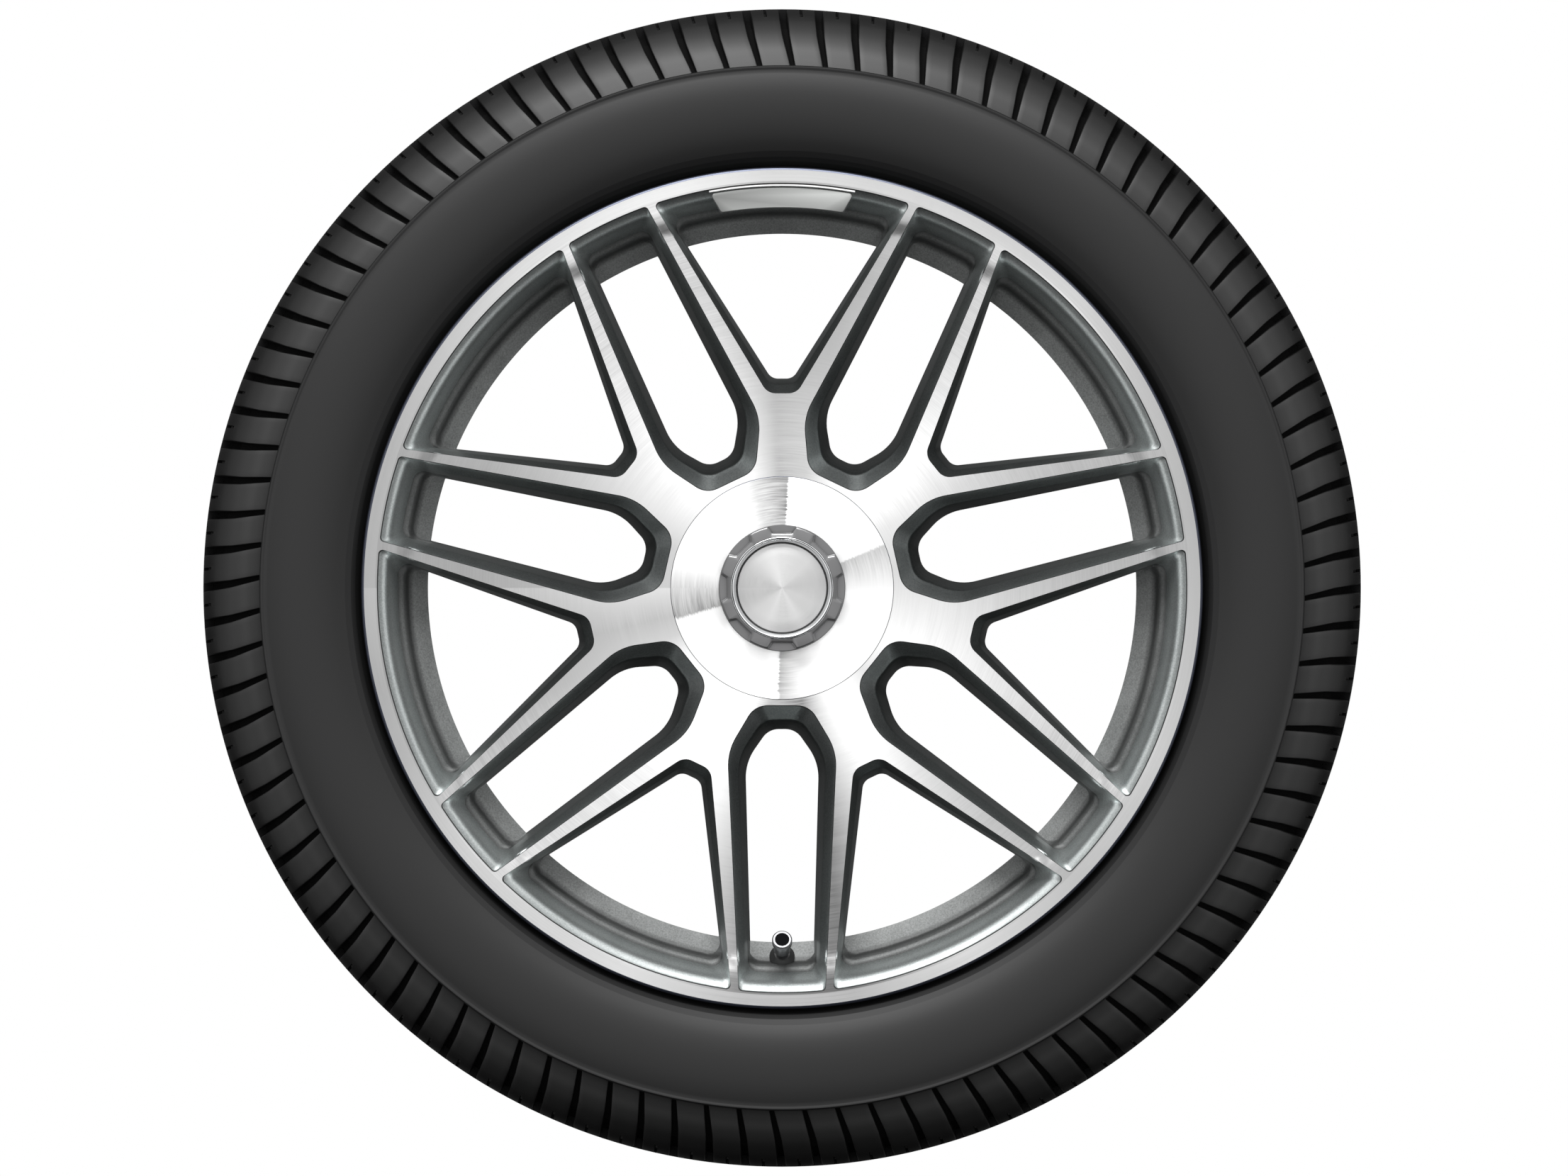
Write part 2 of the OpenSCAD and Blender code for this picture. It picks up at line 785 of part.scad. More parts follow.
module valve_core_pin() {
    color("khaki")
        whole()
            at_valve() {
                translate([0, 0, pin_foot])
                    cylinder(r = pin_r, h = core_top - pin_foot);
                translate([0, 0, core_top - pin_head])
                    cylinder(r = pin_r + 0.35, h = pin_head);
            }
}

module valve_core_cup() {
    color("dimgray")
        whole()
            at_valve()
                turned([
                    [pin_r + 0.02, core_top - core_len - 1.3],
                    [core_r - 0.95, core_top - core_len - 1.3],
                    [core_r - 0.95, core_top - core_len - 0.6],
                    [core_r - 1.25, core_top - core_len - seat_gap],
                    [pin_r + 0.02, core_top - core_len - seat_gap]
                ]);
}

// Coil spring as a swept ring of points
module valve_spring() {
    low = spring_foot + seat_gap + spring_wire;
    high = core_top - core_len - 1.4 - spring_wire;
    steps = spring_coils * spring_steps;
    points = [
        for (i = [0:steps], j = [0:spring_sides - 1])
            let (a = i * 360 / spring_steps, b = j * 360 / spring_sides)
            let (r = spring_r + spring_wire * cos(b))
            [r * cos(a), r * sin(a), mix(low, high, i / steps) + spring_wire * sin(b)]
    ];
    sides = [
        for (i = [0:steps - 1], j = [0:spring_sides - 1])
            let (a = i * spring_sides + j, b = i * spring_sides + (j + 1) % spring_sides)
            each [[a, b, b + spring_sides], [a, b + spring_sides, a + spring_sides]]
    ];
    last = steps * spring_sides;
    ends = [
        for (j = [1:spring_sides - 2])
            each [[0, j + 1, j], [last, last + j, last + j + 1]]
    ];
    color("lightsteelblue")
        whole()
            at_valve()
                polyhedron(points, concat(sides, ends), convexity = 10);
}

module valve_cap() {
    r = cap_dia / 2;
    sleeve = sleeve_dia / 2;
    bore = stem_thread / 2 + thread_gap;
    color("whitesmoke")
        whole()
            at_valve()
                turned([
                    [bore, cap_foot],
                    [sleeve, cap_foot],
                    [sleeve, valve_len - 6],
                    [r, valve_len - 4.6],
                    [r, valve_len - 0.8],
                    [r - 0.8, valve_len],
                    [insert_dia / 2 + seat_gap, valve_len],
                    [insert_dia / 2 + seat_gap, valve_len - 0.9],
                    [0, valve_len - 0.9],
                    [0, stem_top + 1.5],
                    [bore, stem_top + 1.5]
                ]);
}

module valve_cap_seal() {
    color("black")
        whole()
            at_valve()
                disc_ring(core_r - 0.4, stem_thread / 2 - 0.1, stem_top + seat_gap, 1.3);
}

module valve_cap_insert() {
    color("darkslategray")
        whole()
            at_valve()
                translate([0, 0, valve_len - 0.9 + seat_gap])
                    cylinder(d = insert_dia, h = 0.7);
}

module sensor_housing() {
    round_r = 4;
    color("darkslategray")
        whole()
            at_valve()
                difference() {
                    translate([0, 0, stem_foot - seat_gap - sensor_deep])
                        linear_extrude(sensor_deep)
                            polygon(sensor_outline(round_r));
                    translate([0, 0, stem_foot - sensor_deep - past])
                        cylinder(r = screw_r + 0.2, h = sensor_deep + 2 * past);
                    translate([0, 0, stem_foot - sensor_deep - past])
                        cylinder(r = screw_r + 1.8, h = sensor_deep - 3);
                }
}

function sensor_outline(r) =
    let (x = sensor_len / 2 - r, y = sensor_w / 2 - r)
    concat(
        ring_arc([x, y], r, 0, 90, 4),
        ring_arc([-x, y], r, 90, 180, 4),
        ring_arc([-x, -y], r, 180, 270, 4),
        ring_arc([x, -y], r, 270, 360, 4)
    );

module sensor_screw() {
    head = stem_foot - 4 - seat_gap;
    color("silver")
        whole()
            at_valve()
                difference() {
                    union() {
                        translate([0, 0, head])
                            cylinder(r = screw_r, h = 6.9);
                        translate([0, 0, head - 2])
                            cylinder(r = screw_r + 1.4, h = 2);
                    }
                    translate([0, 0, head - 2 - past])
                        cylinder(r = 1.2, h = 2.4, $fn = 6);
                }
}

alloy_wheel();
tyre();
hub_cover();
cover_gasket();
retaining_ring();
cap_carrier();
cap_nut();
cap_seal();
cap_bezel();
cap_disc();
valve_grommet();
valve_stem();
valve_core_barrel();
valve_core_seal();
valve_core_pin();
valve_core_cup();
valve_spring();
valve_cap();
valve_cap_seal();
valve_cap_insert();
sensor_housing();
sensor_screw();
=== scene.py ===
"""Looks of a forged alloy wheel with its tyre, hub cover, nut and valve.

Lengths are in millimetres, drawn round the wheel's axis with x right, y up and z out of the face.
place() turns them into metres in the shared frame. Angles are in degrees, except inside math calls.
"""

import math

import bmesh
import bpy
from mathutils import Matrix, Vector
from mathutils.geometry import delaunay_2d_cdt


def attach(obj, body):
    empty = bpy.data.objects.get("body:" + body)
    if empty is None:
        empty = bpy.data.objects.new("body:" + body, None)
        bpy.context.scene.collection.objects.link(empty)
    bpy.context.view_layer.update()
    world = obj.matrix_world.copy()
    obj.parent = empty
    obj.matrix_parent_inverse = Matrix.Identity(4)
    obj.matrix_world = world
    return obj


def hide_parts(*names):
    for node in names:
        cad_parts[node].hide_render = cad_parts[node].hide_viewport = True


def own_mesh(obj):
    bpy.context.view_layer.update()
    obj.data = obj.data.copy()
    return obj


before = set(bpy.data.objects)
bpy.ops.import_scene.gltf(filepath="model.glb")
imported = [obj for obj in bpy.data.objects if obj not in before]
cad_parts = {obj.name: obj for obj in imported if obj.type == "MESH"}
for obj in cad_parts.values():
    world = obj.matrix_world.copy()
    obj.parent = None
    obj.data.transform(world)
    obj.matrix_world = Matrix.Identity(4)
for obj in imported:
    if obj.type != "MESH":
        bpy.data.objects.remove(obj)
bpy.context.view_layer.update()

SPOKES = 7
# A wedge is half a spoke's share: from a forked window's axis to the next straight window's axis
WEDGE = 180 / SPOKES
WEDGE_STEPS = 20
ROUND_STEPS = 2 * SPOKES * WEDGE_STEPS
# Vertices closer than this become one, in metres
MERGE = 0.00001


# ---------------------------------------------------------------- helpers

def place(x, y, z):
    return (x / 1000, -z / 1000, y / 1000)


def level(points, z):
    """The points placed at one height."""
    return [place(x, y, z) for x, y in points]


def mix(a, b, t):
    return a + (b - a) * t


def table(rows, x):
    """Straight-line look-up in rows of (x, value)."""
    if x <= rows[0][0]:
        return rows[0][1]
    for (x0, v0), (x1, v1) in zip(rows, rows[1:]):
        if x <= x1:
            return mix(v0, v1, (x - x0) / (x1 - x0))
    return rows[-1][1]


def unit(v):
    size = math.hypot(*v)
    return (v[0] / size, v[1] / size)


def spun(p, degrees, mirror=False):
    """The point turned round the axis, after its x is mirrored if asked. A third value stays."""
    x, y = (-p[0] if mirror else p[0]), p[1]
    a = math.radians(degrees)
    return (x * math.cos(a) - y * math.sin(a), x * math.sin(a) + y * math.cos(a), *p[2:])


def corner(a, p, b, r, n):
    """Points of an arc that rounds the corner at p between the lines to a and to b."""
    u, v = unit((a[0] - p[0], a[1] - p[1])), unit((b[0] - p[0], b[1] - p[1]))
    half = math.acos(max(-1, min(1, u[0] * v[0] + u[1] * v[1]))) / 2
    w = unit((u[0] + v[0], u[1] + v[1]))
    c = (p[0] + w[0] * r / math.sin(half), p[1] + w[1] * r / math.sin(half))
    cut = r / math.tan(half)
    s = (p[0] + u[0] * cut - c[0], p[1] + u[1] * cut - c[1])
    e = (p[0] + v[0] * cut - c[0], p[1] + v[1] * cut - c[1])
    start, end = math.atan2(s[1], s[0]), math.atan2(e[1], e[0])
    turn = end - start
    turn += -2 * math.pi if turn > math.pi else 2 * math.pi if turn < -math.pi else 0
    return [
        (c[0] + r * math.cos(start + turn * i / n), c[1] + r * math.sin(start + turn * i / n))
        for i in range(n + 1)
    ]


class Shape:
    """Collects vertices and faces, each face with a material number."""

    def __init__(self):
        self.verts, self.faces, self.mats = [], [], []

    def vert(self, p):
        self.verts.append(p)
        return len(self.verts) - 1

    def face(self, ids, mat):
        self.faces.append(tuple(ids))
        self.mats.append(mat)

    def grid(self, rows, mat, closed=False):
        """Quads between rows of points. mat is one number, or for each gap between rows a number
        or a function of the point."""
        ids = [[self.vert(p) for p in row] for row in rows]
        n = len(rows[0])
        for i in range(len(rows) - 1):
            m = mat if isinstance(mat, int) else mat[i]
            for j in range(n if closed else n - 1):
                k = (j + 1) % n
                quad = (ids[i][j], ids[i][k], ids[i + 1][k], ids[i + 1][j])
                self.face(quad, m(rows[i + 1][j]) if callable(m) else m)

    def turned(self, profile, mat, steps=ROUND_STEPS):
        """Turns (radius, height) points round the axis."""
        angles = [math.pi / 2 + 2 * math.pi * j / steps for j in range(steps)]
        rows = [[place(r * math.cos(a), r * math.sin(a), z) for a in angles] for r, z in profile]
        self.grid(rows, mat, closed=True)

    def build(self, name, materials, sharp=35):
        """Object with merged vertices, shaded flat across edges sharper than sharp."""
        mesh = bpy.data.meshes.new(name)
        mesh.from_pydata(self.verts, [], self.faces)
        for m in materials:
            mesh.materials.append(m)
        mesh.polygons.foreach_set("material_index", self.mats)
        bm = bmesh.new()
        bm.from_mesh(mesh)
        bmesh.ops.remove_doubles(bm, verts=bm.verts, dist=MERGE)
        bmesh.ops.dissolve_degenerate(bm, edges=bm.edges, dist=MERGE / 2)
        bmesh.ops.recalc_face_normals(bm, faces=bm.faces)
        limit = math.radians(sharp)
        for f in bm.faces:
            f.smooth = True
        for e in bm.edges:
            two = e.link_faces
            if len(two) == 2:
                differ = two[0].material_index != two[1].material_index
                e.smooth = not differ and two[0].normal.angle(two[1].normal, 0) < limit
        bm.to_mesh(mesh)
        bm.free()
        obj = bpy.data.objects.new(name, mesh)
        bpy.context.scene.collection.objects.link(obj)
        return obj


# ---------------------------------------------------------------- materials

# A ramp runs from 0 to 1: radii in metres are multiplied by this first
RADIUS_SCALE = 2.5


def by_angle(stops):
    """Ramp stops from (degrees from -180 to 180, value)."""
    return [((d + 180) / 360, v) for d, v in stops]


class Tree:
    """Short forms for building a tree of nodes."""

    def __init__(self, tree):
        self.tree = tree

    def add(self, kind, **values):
        n = self.tree.nodes.new(kind)
        for key, value in values.items():
            setattr(n, key, value)
        return n

    def link(self, a, b):
        self.tree.links.new(a, b)

    def feed(self, socket, value):
        if isinstance(value, (int, float)):
            socket.default_value = value
        else:
            self.link(value, socket)

    def math(self, op, a, b=None, c=None):
        n = self.add("ShaderNodeMath", operation=op)
        for socket, value in zip(n.inputs, (a, b, c)):
            if value is not None:
                self.feed(socket, value)
        return n.outputs[0]

    def ramp(self, x, stops, smooth=False):
        """Look-up: stops are (position, grey or colour)."""
        n = self.add("ShaderNodeValToRGB")
        n.color_ramp.interpolation = "EASE" if smooth else "LINEAR"
        el = n.color_ramp.elements
        while len(el) < len(stops):
            el.new(0.5)
        for e, (p, v) in zip(el, stops):
            e.position = p
        for e, (p, v) in zip(el, stops):
            e.color = (*v, 1) if isinstance(v, tuple) else (v, v, v, 1)
        self.link(x, n.inputs[0])
        return n.outputs[0]

    def around(self, vector):
        """Distance from the wheel's axis, angle round it in radians and as a share of a turn, and
        the vector's y and z."""
        sep = self.add("ShaderNodeSeparateXYZ")
        self.link(vector, sep.inputs[0])
        x, y, z = sep.outputs
        squares = self.math("ADD", self.math("MULTIPLY", x, x), self.math("MULTIPLY", z, z))
        angle = self.math("ARCTAN2", z, x)
        turn = self.math("MULTIPLY_ADD", angle, 0.5 / math.pi, 0.5)
        return self.math("SQRT", squares), angle, turn, y, z


class Paint(Tree):
    """A new material, built round its main shader."""

    def __init__(self, name):
        self.mat = bpy.data.materials.new(name)
        self.mat.use_nodes = True
        super().__init__(self.mat.node_tree)
        self.shader = self.tree.nodes["Principled BSDF"]

    def set(self, **values):
        for key, value in values.items():
            self.shader.inputs[key.replace("_", " ")].default_value = value

    def point(self):
        """The point in the object's space, in metres."""
        return self.add("ShaderNodeTexCoord").outputs["Object"]

    def by_radius(self, r, stops, smooth=False):
        """Look-up by radius: stops are (radius in metres, grey)."""
        scaled = [(RADIUS_SCALE * x, v) for x, v in stops]
        return self.ramp(self.math("MULTIPLY", r, RADIUS_SCALE), scaled, smooth)

    def noise(self, vector, scale, detail, rough):
        n = self.add("ShaderNodeTexNoise")
        n.inputs["Scale"].default_value = scale
        n.inputs["Detail"].default_value = detail
        n.inputs["Roughness"].default_value = rough
        self.link(vector, n.inputs["Vector"])
        return n.outputs[0]

    def rings(self, r, angle, across, along, detail):
        """Noise that is fine across the radius and long round the axis."""
        n = self.add("ShaderNodeCombineXYZ")
        self.link(self.math("MULTIPLY", r, across), n.inputs[0])
        self.link(self.math("MULTIPLY", angle, along), n.inputs[1])
        return self.noise(n.outputs[0], 1.0, detail, 0.65)

    def grey(self, value):
        n = self.add("ShaderNodeCombineColor")
        for socket in n.inputs:
            self.feed(socket, value)
        return n.outputs[0]

    def colour(self, socket):
        self.link(socket, self.shader.inputs["Base Color"])

    def bump(self, height, strength, distance):
        n = self.add("ShaderNodeBump")
        n.inputs["Strength"].default_value = strength
        n.inputs["Distance"].default_value = distance
        self.link(height, n.inputs["Height"])
        self.link(n.outputs[0], self.shader.inputs["Normal"])


# Painted reflection: grey by angle in fans with one sharp side, standing in for light mirrored by
# the lathe's marks
REFLECTION_FANS = [
    (-180, 0.7), (-164, 0.4), (-163, 1.0), (-93, 1.0), (-92, 0.38), (-66, 1.0), (-4, 1.0),
    (23, 0.58), (24, 1.0), (86, 1.0), (87, 0.28), (105, 0.45), (126, 1.0), (166, 1.0), (180, 0.7),
]
# The same painted reflection for the spokes, the outer ring and the disc, with soft sides
FACE_REFLECTION_FANS = [
    (-180, 0.78), (-166, 0.55), (-156, 0.62), (-140, 1.0), (-112, 1.0), (-96, 0.3), (-80, 0.2),
    (-62, 0.8), (-45, 0.65), (-25, 0.95), (10, 0.7), (30, 0.8), (45, 1.1), (64, 0.85), (78, 0.5),
    (92, 0.4), (104, 0.7), (130, 1.0), (160, 0.62),
]
# How far the fine rings push the sides of the painted reflection fans, in turns
FAN_SHIFT = 0.014


def turned_metal(name, tones, rough, streak, aniso=0.8, depth=2.0, reflection_fans=REFLECTION_FANS):
    """Metal with rings from the lathe and fans of painted reflection by angle. tones are (radius in
    metres, grey). streak is the rings' contrast and depth the painted reflection fans'."""
    m = Paint(name)
    m.set(Metallic=1.0, Roughness=rough, Anisotropic=aniso, Anisotropic_Rotation=0.25)
    r, angle, turn, _, _ = m.around(m.point())
    fine = m.rings(r, angle, 900.0, 2.2, 4.0)
    broad = m.rings(r, angle, 160.0, 1.1, 2.0)
    both = m.math("ADD", m.math("MULTIPLY", fine, 0.65), m.math("MULTIPLY", broad, 0.35))
    centred = m.math("SUBTRACT", both, 0.5)
    push = m.math("MULTIPLY", m.math("SUBTRACT", fine, 0.5), FAN_SHIFT)
    # Painted reflection: the fans darken the grey by angle, their sides pushed by the fine rings
    painted_reflection = m.math("SUBTRACT", 1.0, m.ramp(m.math("ADD", turn, push), by_angle(reflection_fans)))
    painted_reflection = m.math("SUBTRACT", 1.0, m.math("MULTIPLY", painted_reflection, m.math("MULTIPLY", both, depth)))
    tone = m.math("MULTIPLY", m.by_radius(r, tones), painted_reflection)
    m.colour(m.grey(m.math("MULTIPLY_ADD", centred, streak * 2, tone)))
    m.feed(m.shader.inputs["Roughness"], m.math("MULTIPLY_ADD", centred, 0.25, rough))
    tangent = m.add("ShaderNodeTangent", direction_type="RADIAL", axis="Y")
    m.link(tangent.outputs[0], m.shader.inputs["Tangent"])
    m.bump(fine, 0.12, 0.0002)
    return m.mat


def flake_paint(name, dark, light, rough, metal, painted_light=((0, 1), (1, 1))):
    """Grainy metallic paint. Its last argument is painted shade and highlight: the paint's
    brightness by radius in metres.
    """
    m = Paint(name)
    m.set(Metallic=metal, Roughness=rough)
    point = m.point()
    r = m.around(point)[0]
    grain = m.noise(point, 900.0, 3.0, 0.7)
    patch = m.noise(point, 60.0, 2.0, 0.5)
    t = m.math("ADD", m.math("MULTIPLY", grain, 0.8), m.math("MULTIPLY", patch, 0.2))
    scaled = m.add("ShaderNodeVectorMath", operation="SCALE")
    m.link(m.ramp(t, [(0.32, dark), (0.68, light)]), scaled.inputs[0])
    # Painted shade and highlight: the grain's colour is scaled by radius
    m.link(m.by_radius(r, painted_light), scaled.inputs["Scale"])
    m.colour(scaled.outputs[0])
    m.bump(grain, 0.08, 0.0002)
    return m.mat


def rubber_by_radius(name, tones):
    """Rubber whose grey follows the radius in metres, which paints highlight and shade on the
    shoulder.
    """
    m = Paint(name)
    m.set(Roughness=0.47, Specular_IOR_Level=0.32)
    m.colour(m.grey(m.by_radius(m.around(m.point())[0], tones, smooth=True)))
    return m.mat


def plain(name, colour, **values):
    m = Paint(name)
    m.set(Base_Color=(*colour, 1), **values)
    return m.mat


# Grey of the turned face by radius: the alloy's own grey, with a painted highlight that brightens
# it towards the hub
FACE_GREY_AND_HUB_SHEEN = [(0.075, 0.88), (0.11, 0.84), (0.16, 0.66), (0.21, 0.55), (0.285, 0.54)]
# Painted shade and highlight on the pocket paint by radius: darker towards the hub, brightest on
# the outer walls between 263 and 267 mm
POCKET_SHADE_AND_HIGHLIGHT = [
    (0.10, 0.22), (0.16, 0.3), (0.24, 0.46), (0.257, 0.6), (0.263, 1.0), (0.267, 1.0),
    (0.2697, 0.4), (0.272, 0.27),
]
# Painted shade on the barrel paint by radius: dimmer across the band seen through the windows,
# darkest just outside it under the ledge
BARREL_SHADE = [
    (0.09, 1.3), (0.20, 1.2), (0.245, 0.8), (0.249, 0.8), (0.2505, 0.3), (0.2532, 0.3),
    (0.2548, 0.58),
]
# Near-black paint for thin dark lines: painted shade at the windows' edges, round the pads' tops
# and in the bright ring
SHADE_LINE_PAINT = plain("painted shade line", (0.010, 0.011, 0.011), Roughness=0.6)
LIP_METAL = plain("rim lip", (0.05, 0.055, 0.075), Metallic=0.8, Roughness=0.3)
WHEEL_LOOKS = [
    turned_metal("turned face", FACE_GREY_AND_HUB_SHEEN, 0.42, 0.32, reflection_fans=FACE_REFLECTION_FANS),
    turned_metal("turned ring", [(0.27, 0.52), (0.285, 0.48)], 0.44, 0.12, depth=1.1,
                 reflection_fans=FACE_REFLECTION_FANS),
    flake_paint("pocket paint", (0.55, 0.59, 0.585), (0.92, 0.97, 0.965), 0.38, 1.0, POCKET_SHADE_AND_HIGHLIGHT),
    SHADE_LINE_PAINT,
    flake_paint("back paint", (0.16, 0.18, 0.175), (0.30, 0.33, 0.325), 0.5, 1.0),
    LIP_METAL,
    plain("pad plate", (0.24, 0.245, 0.24), Metallic=0.8, Roughness=0.5),
    # A darker, less metallic copy of the paint: painted shade on the barrel and the low walls of
    # the rim's band
    flake_paint("shaded barrel paint", (0.085, 0.089, 0.088), (0.19, 0.196, 0.194), 0.5, 0.4,
                BARREL_SHADE),
    plain("pad ledge", (0.8, 0.8, 0.8), Metallic=0.9, Roughness=0.4),
]
# Material numbers of the wheel, in the order of WHEEL_LOOKS
FACE, RING, POCKET, SHADE_LINE, BACK, LIP, PLATE, SHADED_BARREL, LEDGE = range(len(WHEEL_LOOKS))


# ---------------------------------------------------------------- wheel: windows and walls

HUB_R, HUB_Z = 75.4, 111.0
# The face is a cone up to BEND_R, rises to the rim's height at BEND_END, and is flat from there
BEND_R, BEND_END, RIM_Z = 249.5, 262.5, 132.5
CONE = 14.0 / (245.0 - HUB_R)
BEND = [
    (0.0, 0.0), (0.1, 0.02), (0.2, 0.1), (0.3, 0.25), (0.4, 0.42), (0.5, 0.59), (0.6, 0.74),
    (0.7, 0.86), (0.8, 0.94), (0.9, 0.985), (1.0, 1.0),
]
# Outer radius of the windows at the face, and of the barrel's inside where the walls end
POCKET_R, INNER_R = 273.4, 238.9
SPOKE_DEPTH = 41.0


def cone_z(r):
    return HUB_Z + CONE * (r - HUB_R)


def face_z(r):
    """Height of the turned face."""
    if r <= BEND_R:
        return cone_z(r)
    if r >= BEND_END:
        return RIM_Z
    t = (r - BEND_R) / (BEND_END - BEND_R)
    return mix(cone_z(r), RIM_Z, table(BEND, t))


# Depth below the face at which the rim's band meets the barrel
BAND_FOOT = 37.7
# Share of the wall's slope, and the pocket's outer radius, by depth below the face
WALL_SHARE = [
    (0, 0), (1.0, 0.035), (10.6, 0.545), (11.1, 0.575), (11.9, 0.61), (15, 0.69), (22, 0.81),
    (30, 0.91), (BAND_FOOT, 0.98), (SPOKE_DEPTH, 1.0),
]
WALL_OUT = [
    (0, POCKET_R), (1.0, 272.6), (1.1, 272.4), (1.35, 271.8), (1.65, 270.8), (2.1, 269.6),
    (2.8, 268.3), (3.9, 267.0), (5.6, 265.8), (8.5, 264.4), (12, 263.2), (16, 262.0),
    (20, 260.8), (23, 259.4), (24.6, 258.2), (25.2, 257.0), (25.7, 255.8), (26.6, 255.0),
    (29.5, 253.6), (32.6, 252.3), (33.3, 251.2), (33.7, 249.6), (BAND_FOOT, INNER_R),
    (SPOKE_DEPTH, INNER_R),
]
DEPTHS = sorted({d for d, _ in WALL_SHARE + WALL_OUT})
# Depth down to which a wall has the dark edge, a line of painted shade, and from which the rim's
# band takes the barrel's darker paint with its painted shade
EDGE_DEPTH, BAND_DEPTH = 1.0, 24.5
# Radius outside which a low wall belongs to that band
BAND_R = 235.5
# Depth over which the walls lose the rise of the face's bend
LIFT_DEPTH = 12

# Each pair is a size at the face and at the foot of the walls. Forked window: tangent of the half
# angle between its sides, height where they would meet, height of its foot, radius of its corner
FORK_SLOPE, FORK_APEX = (math.tan(math.radians(30.96)), 0.635), (114.8, 130.0)
FORK_FOOT, FORK_CORNER = (131.3, 141.3), (10, 8)
# Straight window: half width at the rim and its growth towards the hub, height and half width of
# its foot, height at which its sides turn in, radii of its corners
SLOT_HALF, SLOT_FLARE = (29.4, 21.5), (0.0471, 0.027)
SLOT_FOOT, SLOT_FOOT_HALF, SLOT_TURN = (79.1, 95.2), (18.5, 9.0), (110.2, 117.6)
SLOT_FOOT_CORNER, SLOT_TURN_CORNER = (15, 13), (38, 34)
# Corners at the rim are round down to this outer radius, and sharp on the barrel
RIM_CORNER, SHARP_CORNER, ROUND_DOWN_TO = (3, 8), 0.5, 250

SIDE_STEPS = [
    0.14, 0.28, 0.42, 0.55, 0.66, 0.74, 0.79, 0.82, 0.85, 0.88, 0.91, 0.94, 0.97,
]
CORNER_STEPS = 8
ARC_STEPS = 16


def fork_path(t, r_out):
    """Corners of half a forked window at share t of its walls, and their radii."""
    k, apex, foot = mix(*FORK_SLOPE, t), mix(*FORK_APEX, t), mix(*FORK_FOOT, t)
    reach = math.sqrt(r_out ** 2 * (1 + k * k) - k * k * apex * apex)
    y2 = (k * k * apex + reach) / (1 + k * k)
    return [(0, foot), (k * (foot - apex), foot), (k * (y2 - apex), y2)], [mix(*FORK_CORNER, t)]


def slot_path(t, r_out):
    """Corners of half a straight window at share t of its walls, and their radii."""
    flare, turn = mix(*SLOT_FLARE, t), mix(*SLOT_TURN, t)
    w, foot = mix(*SLOT_HALF, t), mix(*SLOT_FOOT, t)
    y2 = math.sqrt(r_out ** 2 - w * w)
    path = [(0, foot), (mix(*SLOT_FOOT_HALF, t), foot), (w + flare * (y2 - turn), turn), (w, y2)]
    return path, [mix(*SLOT_FOOT_CORNER, t), mix(*SLOT_TURN_CORNER, t)]


def between(a, b, steps):
    return [(mix(a[0], b[0], s), mix(a[1], b[1], s)) for s in steps]


def half_window(kind, t, r_out):
    """Points from the foot's middle round to the middle of the outer arc."""
    path, radii = (fork_path if kind == "fork" else slot_path)(t, r_out)
    last = path[-1]
    # the rim's arc goes on from the last corner, square to its radius
    path_on = path + [(last[0] - last[1] * 0.1, last[1] + last[0] * 0.1)]
    arcs = [
        corner(path_on[i], path_on[i + 1], path_on[i + 2], r, CORNER_STEPS)
        for i, r in enumerate(radii)
    ]
    rim_corner = mix(*RIM_CORNER, t) if r_out > ROUND_DOWN_TO else SHARP_CORNER
    high = corner(path[-2], last, path_on[-1], rim_corner, CORNER_STEPS)
    points = between(path[0], arcs[0][0], (0, 0.5))
    for i, arc in enumerate(arcs):
        points += arc
        if i + 1 < len(arcs):
            points += between(arc[-1], arcs[i + 1][0], (0.25, 0.5, 0.75))
    points += between(arcs[-1][-1], high[0], SIDE_STEPS) + high
    a = math.atan2(high[-1][1], high[-1][0])
    for i in range(1, ARC_STEPS + 1):
        b = mix(a, math.pi / 2, i / ARC_STEPS)
        points.append((r_out * math.cos(b), r_out * math.sin(b)))
    return points


def wall_rings(kind):
    """Rings of a half window from the face down, as (x, y, z)."""
    top = half_window(kind, 0, POCKET_R)
    lift = [face_z(math.hypot(*p)) - cone_z(math.hypot(*p)) for p in top]
    rings = []
    for d in DEPTHS:
        row = half_window(kind, table(WALL_SHARE, d), table(WALL_OUT, d))
        keep = max(0.0, 1 - d / LIFT_DEPTH)
        rings.append([
            (x, y, cone_z(math.hypot(x, y)) + e * keep - d) for (x, y), e in zip(row, lift)
        ])
    return rings


def band_paint(p):
    """Material of the lower wall: the barrel's darker paint with its painted shade on the rim's
    band, the pocket's on the spokes.
    """
    return SHADED_BARREL if math.hypot(p[0], p[2]) > BAND_R / 1000 else POCKET


def all_wedges():
    """Turn of each wedge in degrees, and whether it is mirrored."""
    for i in range(SPOKES):
        for mirror in (False, True):
            yield i * 2 * WEDGE, mirror


def add_walls(shape, rings):
    # The wall's first rows take the near-black line of painted shade
    mats = [
        SHADE_LINE if d <= EDGE_DEPTH else POCKET if d <= BAND_DEPTH else band_paint
        for d in DEPTHS[1:]
    ]
    for kind, turn in (("fork", 0), ("slot", WEDGE)):
        for degrees, mirror in all_wedges():
            rows = [[place(*spun(p, degrees + turn, mirror)) for p in row] for row in rings[kind]]
            shape.grid(rows, mats)


# ---------------------------------------------------------------- wheel: face and back

# Points inside a sheet keep this distance from its outline
SHEET_GAP = 2.2
